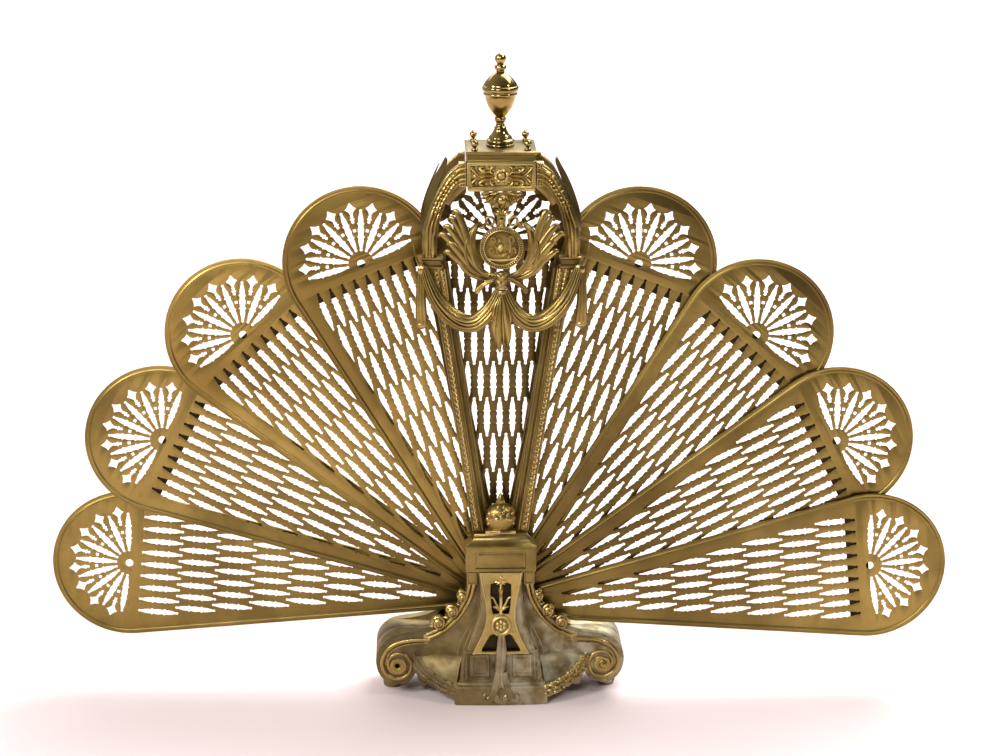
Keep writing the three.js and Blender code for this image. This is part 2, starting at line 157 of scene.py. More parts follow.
def pod(at, length, width, height, angle=0, out=FRONT, rings=7, sides=8):
    """A small pointed oval lying on a face, its length turned by angle from straight up."""
    out = Vector(out).normalized()
    upright = Vector(UP) if abs(out.z) < 0.9 else Vector((0, 1, 0))
    side = upright.cross(out).normalized()
    lift = out.cross(side)
    along = lift * math.cos(angle) + side * math.sin(angle)
    across = side * math.cos(angle) - lift * math.sin(angle)
    result = []
    for k in range(rings):
        t = k / (rings - 1)
        girth = max(math.sin(math.pi * t), 0.02) ** 0.8
        centre = Vector(at) + along * (t - 0.5) * length
        result.append([centre + across * a * girth + out * b * girth
                       for a, b in ((width / 2 * c, height * s) for c, s in circle(1, sides))])
    return skin(result)


def frond(spine, width, height, ribs=1, lobes=0, steps=7, across=13, fat=0.8):
    """A cast leaf: a ribbed, arched blade along a spine, pointed at its tip and closed behind."""
    path = spline(spine, steps)
    last = len(path) - 1
    rings = []
    for k, point in enumerate(path):
        t = k / last
        along = (path[min(k + 1, last)] - path[max(k - 1, 0)]).normalized()
        side = along.cross(Vector(FRONT)).normalized()
        lift = side.cross(along)
        girth = max(math.sin(math.pi * (0.12 + 0.88 * t) ** fat), 0.03)
        notch = 1 - 0.28 * abs(math.cos(math.pi * lobes * t)) ** 2 if lobes else 1
        half = width / 2 * girth * notch
        ring = []
        for i in range(across):
            u = 2 * i / (across - 1) - 1
            crest = (1 - u * u) ** 0.5 * 0.75 + 0.25 * math.cos(math.pi * ribs * u) * (1 - abs(u)) ** 0.3
            ring.append(point + side * u * half + lift * height * girth ** 0.6 * crest)
        ring.append(point + side * half * 0.9 - lift * FROND_BACK)
        ring.append(point - side * half * 0.9 - lift * FROND_BACK)
        rings.append(ring)
    return skin(rings)


def block(x0, x1, y0, y1, z0, z1, edge=0.6):
    """A box with its front edges and corners taken off."""
    def ring(y, by):
        return [(x0 + by, y, z0 + by), (x1 - by, y, z0 + by), (x1 - by, y, z1 - by), (x0 + by, y, z1 - by)]
    return skin([ring(y1, 0), ring(y0 + edge, 0), ring(y0 + edge * 0.3, edge * 0.3), ring(y0, edge)])


def stepped(levels, edge=0.5):
    """Stacked rectangular mouldings; a level is (z, half width, y of the back, y of the front)."""
    rings = []
    for z, x, back, face in levels:
        rings.append([(-x, back, z), (-x, face + edge, z), (-x + edge, face, z),
                      (x - edge, face, z), (x, face + edge, z), (x, back, z)])
    return skin(rings)


def plate(outline, holes, near, far, edge=0.12):
    """A pierced sheet in x and z with softened edges, from y = near to y = far."""
    curve = bpy.data.curves.new("plate", "CURVE")
    curve.dimensions = "2D"
    curve.fill_mode = "BOTH"
    curve.extrude = (far - near) / 2 - edge
    curve.bevel_depth = edge
    curve.bevel_resolution = 1
    curve.offset = -edge
    for loop in [outline, *holes]:
        line = curve.splines.new("POLY")
        line.points.add(len(loop) - 1)
        for point, (x, z) in zip(line.points, loop):
            point.co = (x, z, 0, 1)
        line.use_cyclic_u = True
    holder = bpy.data.objects.new("plate", curve)
    mesh = bpy.data.meshes.new_from_object(holder)
    middle = (near + far) / 2
    verts = [(v.co.x, middle - v.co.z, v.co.y) for v in mesh.vertices]
    faces = [tuple(p.vertices) for p in mesh.polygons]
    bpy.data.objects.remove(holder)
    bpy.data.curves.remove(curve)
    bpy.data.meshes.remove(mesh)
    return verts, faces


def mirrored(parts, axis=0):
    """The same parts on the other side of the plane x = 0, or y = 0 for axis 1."""
    flip = [1, 1, 1]
    flip[axis] = -1
    return [([tuple(c * f for c, f in zip(v, flip)) for v in verts], faces) for verts, faces in parts]


def both(parts):
    """The right-hand parts and the same on the left."""
    return parts + mirrored(parts)


def make_mesh(name, parts, angle=38):
    """One mesh from parts in millimetres, its edges sharp where faces meet at more than angle."""
    verts = []
    faces = []
    for part_verts, part_faces in parts:
        start = len(verts)
        verts += [tuple(c * MM for c in v) for v in part_verts]
        faces += [tuple(i + start for i in face) for face in part_faces]
    mesh = bpy.data.meshes.new(name)
    mesh.from_pydata(verts, [], faces)
    bm = bmesh.new()
    bm.from_mesh(mesh)
    bmesh.ops.remove_doubles(bm, verts=bm.verts, dist=2e-6)
    bmesh.ops.dissolve_degenerate(bm, edges=bm.edges, dist=1e-6)
    bmesh.ops.recalc_face_normals(bm, faces=bm.faces)
    bm.to_mesh(mesh)
    bm.free()
    mesh.shade_smooth()
    mesh.set_sharp_from_angle(angle=math.radians(angle))
    return mesh


def link(item):
    bpy.context.scene.collection.objects.link(item)


def add_piece(name, mesh, body="frame", nodes=(), place=Matrix()):
    """One visible piece, riding on a body and standing for CAD nodes."""
    piece = bpy.data.objects.new(name, mesh)
    link(piece)
    piece.matrix_world = place
    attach(piece, body)
    if nodes:
        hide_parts(*nodes)


def make_piece(name, parts, material, nodes=(), angle=38):
    """A piece of the fixed frame, built from its parts."""
    mesh = make_mesh(name, parts, angle)
    mesh.materials.append(material)
    add_piece(name, mesh, nodes=nodes)


# ---------- materials ----------
def metal(name, plain, deep, bright, rough, patch=14.0, hollow_grime_and_shade=0.6, edge_wear_and_highlight=0.5, stain=None, stain_share=0.5,
          grain=0.06,
          stain_and_painted_light_side=0.0, origin_darkening=0.0):
    """Aged cast or rolled brass: patches, hollows darkened by grime and painted shade, edges brightened by
    wear and painted highlights, stains and a fine grain.
    """
    material = bpy.data.materials.new(name)
    material.use_nodes = True
    nodes = material.node_tree.nodes
    links = material.node_tree.links
    shader = nodes["Principled BSDF"]
    shader.inputs["Metallic"].default_value = 1.0
    place = nodes.new("ShaderNodeTexCoord").outputs["Object"]
    own = nodes.new("ShaderNodeObjectInfo").outputs["Random"]
    shift = nodes.new("ShaderNodeMath")
    shift.operation = "MULTIPLY"
    shift.inputs[1].default_value = 20.0
    links.new(own, shift.inputs[0])

    def noise(scale, detail, stretch=(1, 1, 1)):
        mapping = nodes.new("ShaderNodeMapping")
        mapping.inputs["Scale"].default_value = stretch
        links.new(place, mapping.inputs["Vector"])
        node = nodes.new("ShaderNodeTexNoise")
        node.noise_dimensions = "4D"
        node.inputs["Scale"].default_value = scale
        node.inputs["Detail"].default_value = detail
        links.new(mapping.outputs["Vector"], node.inputs["Vector"])
        links.new(shift.outputs[0], node.inputs["W"])
        return node.outputs["Fac"]

    def span(value, low, high, to_low=0.0, to_high=1.0):
        node = nodes.new("ShaderNodeMapRange")
        node.interpolation_type = "SMOOTHSTEP"
        for socket, number in zip(("From Min", "From Max", "To Min", "To Max"),
                                  (low, high, to_low, to_high)):
            node.inputs[socket].default_value = number
        links.new(value, node.inputs["Value"])
        return node.outputs["Result"]

    def blend(share, first, second):
        node = nodes.new("ShaderNodeMix")
        node.data_type = "RGBA"
        links.new(share, node.inputs["Factor"])
        for socket, value in ((node.inputs[6], first), (node.inputs[7], second)):
            if isinstance(value, tuple):
                socket.default_value = (*value, 1)
            else:
                links.new(value, socket)
        return node.outputs[2]

    patches = noise(patch, 5.0)
    colour = blend(span(patches, 0.38, 0.66), plain, deep)
    flecks = noise(patch * 9, 6.0)
    colour = blend(span(flecks, 0.52, 0.72, 0.0, 0.45), colour, deep)
    if stain:
        blotches = noise(patch * 3.6, 8.0)
        share = nodes.new("ShaderNodeMath")
        share.operation = "MULTIPLY"
        links.new(span(blotches, 0.90 - stain_share, 1.24 - stain_share), share.inputs[0])
        # more stain towards +x: real stain, and also painted light that lightens the right flank
        apart = nodes.new("ShaderNodeSeparateXYZ")
        links.new(place, apart.inputs[0])
        links.new(span(apart.outputs["X"], -0.035, 0.03, 1 - stain_and_painted_light_side, 1.0), share.inputs[1])
        colour = blend(share.outputs[0], colour, stain)
    # darker towards the object's origin, which for a leaf is the pivot
    if origin_darkening:
        reach = nodes.new("ShaderNodeVectorMath")
        reach.operation = "LENGTH"
        links.new(place, reach.inputs[0])
        colour = blend(span(reach.outputs["Value"], 0.06, 0.36, origin_darkening, 0.0), colour,
                       tuple(c * 0.4 for c in deep))
    point = nodes.new("ShaderNodeNewGeometry").outputs["Pointiness"]
    # hollows go near black: grime, and painted shade where light would not reach
    colour = blend(span(point, 0.495, 0.43, 0.0, hollow_grime_and_shade), colour, tuple(c * 0.22 for c in deep))
    # convex edges take the bright colour: rubbed wear, and a painted highlight
    colour = blend(span(point, 0.515, 0.60, 0.0, edge_wear_and_highlight), colour, bright)
    links.new(colour, shader.inputs["Base Color"])
    low, high = rough
    gloss = span(noise(patch * 4, 6.0), 0.3, 0.7, low, high)
    links.new(gloss, shader.inputs["Roughness"])
    fine = noise(900.0, 3.0)
    scratches = noise(260.0, 2.0, (1, 1, 0.06))
    mix = nodes.new("ShaderNodeMath")
    mix.operation = "ADD"
    links.new(fine, mix.inputs[0])
    links.new(scratches, mix.inputs[1])
    bump = nodes.new("ShaderNodeBump")
    bump.inputs["Strength"].default_value = grain
    bump.inputs["Distance"].default_value = 0.0006
    links.new(mix.outputs[0], bump.inputs["Height"])
    links.new(bump.outputs["Normal"], shader.inputs["Normal"])
    return material


LEAF = metal("leaf_brass", (0.425, 0.298, 0.082), (0.250, 0.168, 0.045), (0.70, 0.52, 0.22), (0.32, 0.44),
             patch=7.0, hollow_grime_and_shade=0.0, edge_wear_and_highlight=0.0, grain=0.02, origin_darkening=0.42)
# darker copies of the leaf brass: painted shade for the leaves, and the blades, that lie in shadow
BRASS_PAINTED_DEEP_SHADE = metal("brass_painted_deep_shade", (0.190, 0.136, 0.042), (0.115, 0.080, 0.026), (0.60, 0.45, 0.20),
               (0.32, 0.44),
               patch=12.0, hollow_grime_and_shade=0.0, edge_wear_and_highlight=0.0, grain=0.02, origin_darkening=0.4)
LEAF_PAINTED_SHADE = metal("leaf_brass_painted_shade", (0.290, 0.208, 0.060), (0.175, 0.122, 0.036), (0.65, 0.48, 0.20),
               (0.32, 0.44),
               patch=8.0, hollow_grime_and_shade=0.0, edge_wear_and_highlight=0.0, grain=0.02, origin_darkening=0.5)
LEAF_PAINTED_SOFT_SHADE = metal("leaf_brass_painted_soft_shade", (0.350, 0.250, 0.072), (0.210, 0.146, 0.042), (0.65, 0.48, 0.20),
              (0.32, 0.44),
              patch=8.0, hollow_grime_and_shade=0.0, edge_wear_and_highlight=0.0, grain=0.02, origin_darkening=0.45)
# near-black brass: painted shade for the strap that lies in shadow behind the sheet
STRAP_PAINTED_SHADE = metal("strap_painted_shade_brass", (0.035, 0.026, 0.014), (0.020, 0.015, 0.009), (0.12, 0.09, 0.05), (0.45, 0.60),
              patch=12.0, hollow_grime_and_shade=0.3, edge_wear_and_highlight=0.1, grain=0.06)
CAST = metal("cast_brass", (0.385, 0.275, 0.080), (0.195, 0.135, 0.040), (0.72, 0.55, 0.24), (0.25, 0.40),
             patch=22.0, hollow_grime_and_shade=1.0, edge_wear_and_highlight=0.5, grain=0.05)
# brighter cast brass with strong edge brightening: rubbed wear and painted highlight
RUBBED_AND_HIGHLIT = metal("rubbed_and_highlit_brass", (0.490, 0.358, 0.112), (0.270, 0.190, 0.058), (0.80, 0.64, 0.30),
               (0.36, 0.48),
               patch=22.0, hollow_grime_and_shade=0.9, edge_wear_and_highlight=0.7, grain=0.05)
FLAT = metal("plain_brass", (0.285, 0.208, 0.064), (0.180, 0.126, 0.038), (0.60, 0.45, 0.20), (0.28, 0.44),
             patch=15.0, hollow_grime_and_shade=0.3, edge_wear_and_highlight=0.06, grain=0.05)
DULL = metal("base_brass", (0.256, 0.186, 0.070), (0.120, 0.084, 0.034), (0.60, 0.49, 0.27), (0.48, 0.64),
             patch=20.0, hollow_grime_and_shade=0.9, edge_wear_and_highlight=0.10, stain=(0.480, 0.438, 0.300), stain_share=0.55,
             stain_and_painted_light_side=0.85, grain=0.14)
# the base brass with edge brightening: wear and painted highlight
WORN_AND_HIGHLIT = metal("base_relief_brass", (0.256, 0.186, 0.070), (0.120, 0.084, 0.034), (0.62, 0.52, 0.30),
             (0.34, 0.50),
             patch=20.0, hollow_grime_and_shade=1.0, edge_wear_and_highlight=0.5, stain=(0.480, 0.438, 0.300), stain_share=0.55, stain_and_painted_light_side=0.85,
             grain=0.10)
POLISHED = metal("polished_brass", (0.420, 0.310, 0.110), (0.27, 0.19, 0.060), (0.92, 0.76, 0.44),
                 (0.10, 0.20),
                 patch=30.0, hollow_grime_and_shade=0.8, edge_wear_and_highlight=0.3, grain=0.02)
STEEL = metal("aged_steel", (0.30, 0.28, 0.25), (0.16, 0.14, 0.12), (0.55, 0.52, 0.48), (0.34, 0.5),
              patch=40.0, hollow_grime_and_shade=0.6, edge_wear_and_highlight=0.3, grain=0.06)


# ---------- the fan ----------
def leaf_outline(inset):
    """The edge of a leaf, drawn in by inset: the round lobe, then the butt about the pivot."""
    points = []
    for centre, radius, start, end, sides in (
        (LOBE_CENTRE, LOBE_RADIUS - inset, -SIDE_ANGLE, math.pi + SIDE_ANGLE, LOBE_SIDES),
        (0, BUTT_RADIUS - inset, math.pi + SIDE_ANGLE, 2 * math.pi - SIDE_ANGLE, BUTT_SIDES),
    ):
        for i in range(sides + 1):
            a = start + (end - start) * i / sides
            points.append((radius * math.cos(a), centre + radius * math.sin(a)))
    return points


def spindle(half_widths, length):
    """A closed outline about a straight line, from (share of the length, half width) pairs."""
    right = [(w, (s - 0.5) * length) for s, w in half_widths]
    left = [(-w, v) for w, v in reversed(right)]
    return [p for k, p in enumerate(right + left) if k == 0 or p != (right + left)[k - 1]]


# one punch made slots and rays alike: (share of its length, half width) up to its middle
PUNCH = [(0, 0.5), (0.012, 1.25), (0.03, 1.6), (0.05, 1.25), (0.07, 1.15), (0.12, 1.75), (0.19, 2.45),
         (0.25, 2.75),
         (0.29, 2.6), (0.312, 2.55), (0.326, 3.3), (0.34, 4.05), (0.355, 3.4), (0.38, 2.7), (0.42, 2.65),
         (0.46, 3.1), (0.5, 3.4)]
PUNCH = PUNCH + [(1 - s, w) for s, w in reversed(PUNCH[:-1])]
# the star between two rays: (distance from the eye, half width)
STAR = [(43.2, 0.6), (43.9, 1.5), (44.8, 1.7), (45.7, 1.2), (46.4, 1.3), (47.0, 2.2), (47.7, 2.8),
        (48.4, 2.0), (49.2, 1.2),
        (49.9, 1.4), (50.6, 2.1), (51.3, 1.3), (52.4, 1.2), (53.6, 1.6), (55.4, 2.6), (57.0, 4.2),
        (58.6, 6.2), (59.8, 4.4),
        (61.2, 2.9), (63.0, 1.7), (65.0, 0.4)]
SQUARE = [(33.9, 1.6), (37.1, 1.6)]


def turned_about(points, angle, centre=(0, 0)):
    """Points (across, along) turned clockwise by angle, then moved to a centre."""
    c, s = math.cos(angle), math.sin(angle)
    return [(centre[0] + x * c + z * s, centre[1] - x * s + z * c) for x, z in points]


def leaf_holes():
    """The rows of slots, the rays and stars in the lobe, the eye and the bolt hole."""
    holes = []
    slot = spindle(PUNCH, SLOT_LENGTH)
    for row in range(SLOT_ROWS):
        count = RAYS - row
        for k in range(count):
            x = (k - (count - 1) / 2) * SLOT_PITCH
            holes.append([(x + a, FIRST_ROW - row * ROW_PITCH + b) for a, b in slot])
    inner, outer = 13.2, 57.6
    ray = [(x, z + (inner + outer) / 2) for x, z in spindle(PUNCH, outer - inner)]
    star = [(w, r) for r, w in STAR] + [(-w, r) for r, w in reversed(STAR)]
    square = [(w, r) for r, w in SQUARE] + [(-w, r) for r, w in reversed(SQUARE)]
    for k in range(RAYS):
        angle = math.radians((k - (RAYS - 1) / 2) * RAY_STEP)
        holes.append(turned_about(ray, angle, (0, LOBE_CENTRE)))
        if k:
            between = angle - math.radians(RAY_STEP / 2)
            holes.append(turned_about(star, between, (0, LOBE_CENTRE)))
            holes.append(turned_about(square, between, (0, LOBE_CENTRE)))
    for radius, z in ((EYE_RADIUS, LOBE_CENTRE), (BOLT_HOLE_RADIUS, 0)):
        holes.append([(a, z + b) for a, b in circle(radius, 28)])
    return holes


def leaf_parts():
    """The pierced sheet and the raised rim round it."""
    sheet = plate(leaf_outline(0.2), leaf_holes(), -SHEET / 2, SHEET / 2)
    # the raised rim: (in from the edge, forwards of the middle of the sheet)
    rim = [(0.0, -0.35), (0.0, 0.55), (0.35, 1.05), (1.0, 1.25), (2.2, 0.95), (3.2, 0.9), (3.9, 1.3),
           (4.5, 1.6),
           (5.1, 1.3), (5.6, 0.7), (6.4, 0.42), (7.0, 0.2), (7.0, -0.35)]
    lobe = []
    for (x, z), inner in zip(leaf_outline(0), leaf_outline(1)):
        inward = Vector(inner) - Vector((x, z))
        if z > RIM_START:
            lobe.append([Vector((x + inward.x * d, -h, z + inward.y * d)) for d, h in rim])
    ends = []
    for sign in (1, -1):
        x = sign * (BUTT_RADIUS * math.cos(SIDE_ANGLE) + (RIM_START + BUTT_RADIUS * math.sin(SIDE_ANGLE))
                    * math.tan(SIDE_ANGLE))
        inward = Vector((-sign * math.cos(SIDE_ANGLE), math.sin(SIDE_ANGLE)))
        ends.append([Vector((x + inward.x * d, -h, RIM_START + inward.y * d)) for d, h in rim])
    return [sheet, skin([ends[0], *lobe, ends[1]])]


def strap_parts():
    """The strap behind a leaf, its rivets and the lug that runs between the rims of the next leaf back."""
    face = SHEET / 2 + 0.3
    strip = plate([(-76, 378), (76, 378), (76, 401), (-76, 401)], [], face, face + SHEET)
    angle = math.radians(-LEAF_STEP / 2)
    lug_at = (390 * math.sin(angle), face + SHEET / 2, 390 * math.cos(angle))
    lug = lathe([(0, 0), (2.2, 0), (2.2, 1.7), (1.8, 2.2), (0, 2.2)], 20, lug_at, (0, 1, 0))
    rivets = [lathe([(0, 0), (1.7, 0), (1.5, 0.25), (0.8, 0.45), (0, 0.5)], 14, (x, face + SHEET, 384),
                    (0, 1, 0))
              for x in (-64, 64)]
    return [strip, lug, *rivets]


def add_fan():
    leaf_mesh = make_mesh("pierced_leaf", leaf_parts(), 30)
    leaf_mesh.materials.append(LEAF)
    # leaves 1, 2 and 5 to 9 take darker copies: painted shade, deepest on the middle leaf
    shades = {1: LEAF_PAINTED_SOFT_SHADE, 2: LEAF_PAINTED_SOFT_SHADE, 5: BRASS_PAINTED_DEEP_SHADE, 6: LEAF_PAINTED_SHADE, 7: LEAF_PAINTED_SHADE, 8: LEAF_PAINTED_SHADE, 9: LEAF_PAINTED_SOFT_SHADE}
    painted_shade_meshes = {}
    for shade in (LEAF_PAINTED_SOFT_SHADE, BRASS_PAINTED_DEEP_SHADE, LEAF_PAINTED_SHADE):
        painted_shade_meshes[shade] = leaf_mesh.copy()
        painted_shade_meshes[shade].materials[0] = shade
    strap_mesh = make_mesh("stop_strap", strap_parts(), 30)
    strap_mesh.materials.append(STRAP_PAINTED_SHADE)
    for i in range(1, 10):
        body = "frame" if i == 5 else f"fan_leaf_{i}"
        place = Matrix.Translation(Vector((0, (5 - i) * LEAF_PITCH, PIVOT_Z)) * MM)
        place = place @ Matrix.Rotation(math.radians((i - 5) * LEAF_STEP), 4, "Y")
        names = [("pierced_leaf", painted_shade_meshes.get(shades.get(i), leaf_mesh), "leaf")]
        if i > 1:
            names.append(("strap", strap_mesh, "stop_strap"))
        for name, mesh, node in names:
            add_piece(f"{name}_{i}", mesh, body, [f"{node}_{i}"], place)


# ---------- the struts ----------
STRUT_FOOT = (24.2, 187.5)
STRUT_HEAD = (67, 475.3)
STRUT_BUDS = 41
STRUT_SLOPE = (STRUT_HEAD[0] - STRUT_FOOT[0]) / (STRUT_HEAD[1] - STRUT_FOOT[1])
# section of a strut: (across, forwards of the leaves' side)
STRUT_SECTION = [
    (5.5, 0), (5.5, 8.8), (5.1, 10.0), (4.5, 10.3), (3.9, 9.9), (3.6, 8.9), (-1.9, 8.9), (-2.2, 9.8),
    (-2.9, 10.3),
    (-3.6, 9.8), (-3.9, 8.6), (-4.6, 8.4), (-5.0, 9.2), (-5.7, 9.5), (-6.3, 8.8), (-6.6, 7.2), (-8.2, 5.6),
    (-10.2, 3.9), (-10.9, 4.3), (-11.8, 4.1), (-12.4, 3.2), (-12.5, 0),
]


def strut_centre(z):
    return STRUT_FOOT[0] + (z - STRUT_FOOT[1]) * STRUT_SLOPE


def strut_parts():
    """The right-hand strut of the front frame: its moulded bar and the relief on it."""
    lean = math.atan(STRUT_SLOPE)
    rings = []
    for z in (STRUT_FOOT[1], STRUT_HEAD[1] - 2):
        rings.append([Vector((strut_centre(z) + a, -STACK_FACE - b, z)) for a, b in STRUT_SECTION])
    low = [(54, -STACK_FACE), (54, -STRUT_FACE), (72, -STRUT_FACE), (72, -STACK_FACE)]
    high = [(58, -STACK_FACE), (58, -STRUT_FACE - 3), (79, -STRUT_FACE - 3), (79, -STACK_FACE)]
    core = [skin(rings), skin([[(x, y, 441) for x, y in low], [(x, y, 475) for x, y in high]])]
    relief = []
    for row in range(STRUT_BUDS):
        z = 193 + 6 * row
        for side in (-1, 1):
            at = (strut_centre(z) + 0.85 + side * 1.25, -STRUT_FACE + 1.9, z)
            relief.append(pod(at, 7.4, 2.7, 1.7, lean + side * 0.30, rings=6))
        relief.append(pod((strut_centre(z) + 0.85, -STRUT_FACE + 1.6, z + 3.1), 4.0, 1.6, 1.9, lean,
                          rings=5, sides=6))
    # the leafy block under the capital
    for row in range(6):
        t = row / 5.5
        z = 444 + 28 * t
        face = -STRUT_FACE - 2.9 * t
        left, right = 54 + 3.6 * t, 72 + 6.2 * t
        middle = (left + right) / 2
        for k, angle in ((-1, -0.42), (0, 0.0), (1, 0.42)):
            at = (middle + k * (right - left) * 0.31, face, z + 3 - abs(k) * 1.2)
            relief.append(pod(at, 9.5, 5.2, 2.3, angle + 0.12, sides=9))
    for edge_low, edge_high in ((54.4, 58.4), (71.6, 78.6)):
        line = [(edge_low, -STRUT_FACE - 0.2, 441.5), (edge_high, -STRUT_FACE - 3.2, 475)]
        relief.append(sweep(line, circle(0.9, 8)))
    return core, relief


def add_struts():
    core, relief = strut_parts()
    rear = mirrored(core, 1)
    for side, turn in (("right", list), ("left", mirrored)):
        make_piece(f"strut_front_{side}", turn(core), FLAT, nodes=[f"strut_front_{side}"])
        make_piece(f"strut_relief_{side}", turn(relief), CAST)
        make_piece(f"strut_rear_{side}", turn(rear), FLAT, nodes=[f"strut_rear_{side}"])


# ---------- the arch and its capitals ----------
ARCH_OUTER = [(79.8, 488), (80.2, 505), (78.6, 520), (74.8, 532), (69.5, 546), (62.5, 559), (54, 573),
              (43, 582.5), (36, 584.5)]
ARCH_INNER = [(65.8, 488), (65.2, 505), (63.8, 520), (60.6, 533), (56.4, 544), (50.6, 553.5), (45.6, 560),
              (41, 562.5), (36, 563)]
# leaves growing from the arch's foot: (share of the way across it, its start and end along it, width)
FOOT_LEAVES = [(0.30, 0.0, 0.26, 8.6), (0.74, 0.0, 0.32, 8.4), (0.5, 0.06, 0.40, 7.8),
               (0.24, 0.18, 0.46, 6.6), (0.76, 0.24, 0.54, 7.2), (0.48, 0.32, 0.58, 6.6)]
# the blade on the shoulder: its front edge and its rear edge; on the rear arch it is cut short
REAR_BLADE_SHARE = 0.72
BLADE_FRONT = [(77, 512), (76.5, 526), (72.0, 542), (66.0, 558), (60.0, 573), (55.6, 584), (55.2, 589.5)]
BLADE_REAR = [(80.5, 508), (82.2, 522), (79.2, 538), (73.6, 555), (67.0, 570), (60.4, 582), (56.4, 590)]


def arch_line(share, y, steps=6):
    """A line along the arch, share of the way from its inner to its outer edge."""
    points = [(a + (b - a) * share, y, c + (d - c) * share) for (a, c),
              (b, d) in zip(ARCH_INNER, ARCH_OUTER)]
    return spline(points, steps)


def ring_at(x0, x1, y0, y1, z):
    """A level rectangle with its two front corners taken off."""
    edge = 0.8
    return [(x0, y0, z), (x0, y1 + edge, z), (x0 + edge, y1, z), (x1 - edge, y1, z), (x1, y1 + edge, z),
            (x1, y0, z)]


def capital_parts(face):
    """Plain mouldings between strut and arch."""
    profile = [(475.6, 0.4), (476.4, 1.6), (478.2, 2.0), (479.6, 1.2), (480.0, 0.1), (484.2, 0.0),
               (484.7, 1.0),
               (486.0, 1.9), (487.6, 1.9), (488.4, 0.9)]
    rings = []
    for z, proud in profile:
        rings.append(ring_at(61.4 - proud, 80.6 + proud, ARCH_BACK, -face + 1.4 - proud, z))
    return [skin(rings)]


def blade_parts(face, share):
    """The pointed blade outside the arch: a thin wall that flares outwards to the rear."""
    front = spline([(x, 0, z) for x, z in BLADE_FRONT], 5)
    rear = spline([(x, 0, z) for x, z in BLADE_REAR], 5)
    last = int(share * (len(front) - 1))
    rings = []
    for k in range(last + 1):
        t = k / last
        a, b = front[k], rear[k]
        if share < 1:
            a, b = a.lerp(b, 0.5 * t), b.lerp(a, 0.5 * t)
        near = -face + 1.5 + 3.5 * t
        far = ARCH_BACK - 5.0 * t ** 2
        thick = 1.5 - 0.9 * t
        rings.append([(a.x - thick, near + 0.9, a.z), (a.x - 0.2, near, a.z), (a.x + 0.5, near + 0.5, a.z),
                      (b.x + 0.5, far, b.z), (b.x - thick, far, b.z)])
    return [skin(rings)]


def laid_leaf(face, share, first, last, width, height):
    """A ribbed leaf along the arch, between two stations, on a line a share of the way across it."""
    track = arch_line(share, -face + 1.6, 8)
    spans = len(track) - 1
    spine = [track[int(spans * (first + (last - first) * k / 5))].copy() for k in range(6)]
    spine[-1].y -= 1.2
    return frond(spine, width, height, across=9, fat=0.9)


def arch_parts(face, rich):
    """The right half of an arch: a core, reeds, leaves growing up it and a roll of bay leaves."""
    core = []
    for a, b in zip(arch_line(0.02, 0), arch_line(0.98, 0)):
        core.append([(a.x, ARCH_BACK, a.z), (a.x, -face + 4.5, a.z), (b.x, -face + 4.5, b.z),
                     (b.x, ARCH_BACK, b.z)])
    parts = [skin(core)]
    for share, radius in ((0.08, 1.2), (0.28, 2.2), (0.54, 2.6), (0.80, 2.2), (0.97, 1.0)):
        parts.append(sweep(arch_line(share, -face + 3.6), circle(radius, 12, 1.35)))
    if rich:
        for share, first, last, width in FOOT_LEAVES:
            parts.append(laid_leaf(face, share, first, last, width, 3.9))
        for k in range(8):
            for share, lean in ((0.30, -0.02), (0.72, 0.02)):
                start = 0.40 + 0.052 * k
                parts.append(laid_leaf(face, share + lean, start, start + 0.10, 6.0, 3.2))
        for k in range(9):
            at = arch_line(0.51, -face + 0.6, 8)[int((0.42 + 0.045 * k) * 64)]
            parts.append(pod(at, 4.4, 3.8, 2.8))
    # the hollow spandrel between the arch and the head
    cove = [(35.5, 563.5), (35.5, 557), (40.5, 553), (46.5, 546.5), (52, 538), (57, 541), (51.5, 552),
            (45.5, 560)]
    parts.append(plate(cove, [], -STACK_FACE - 2.4, -STACK_FACE - 0.9, 0.3))
    # the reeded strip beside the head
    for k in range(3):
        x = 36.8 + k * 2.5
        parts.append(sweep([(x, -face + 3.5, 561.5), (x, -face + 3.5, 585.4 - k * 0.8)],
                           circle(1.25, 10, 1.3)))
    parts.append(block(35.7, 43.2, -face + 3.6, -STACK_FACE - 1.5, 560.5, 584.6))
    return parts


def add_arches():
    for depth, face, rich in (("front", ARCH_FACE, True), ("rear", ARCH_FACE - 6, False)):
        arch = arch_parts(face, rich)
        capital = capital_parts(face)
        blade = blade_parts(face, 1 if rich else REAR_BLADE_SHARE)
        if depth == "rear":
            arch, capital, blade = (mirrored(parts, 1) for parts in (arch, capital, blade))
        for side, turn in (("right", list), ("left", mirrored)):
            make_piece(f"arch_{depth}_{side}", turn(arch), CAST, nodes=[f"arch_{depth}_{side}"])
            make_piece(f"capital_{depth}_{side}", turn(capital), FLAT)
            # the blades take the deep-shade brass: painted shade
            make_piece(f"blade_{depth}_{side}", turn(blade), BRASS_PAINTED_DEEP_SHADE)


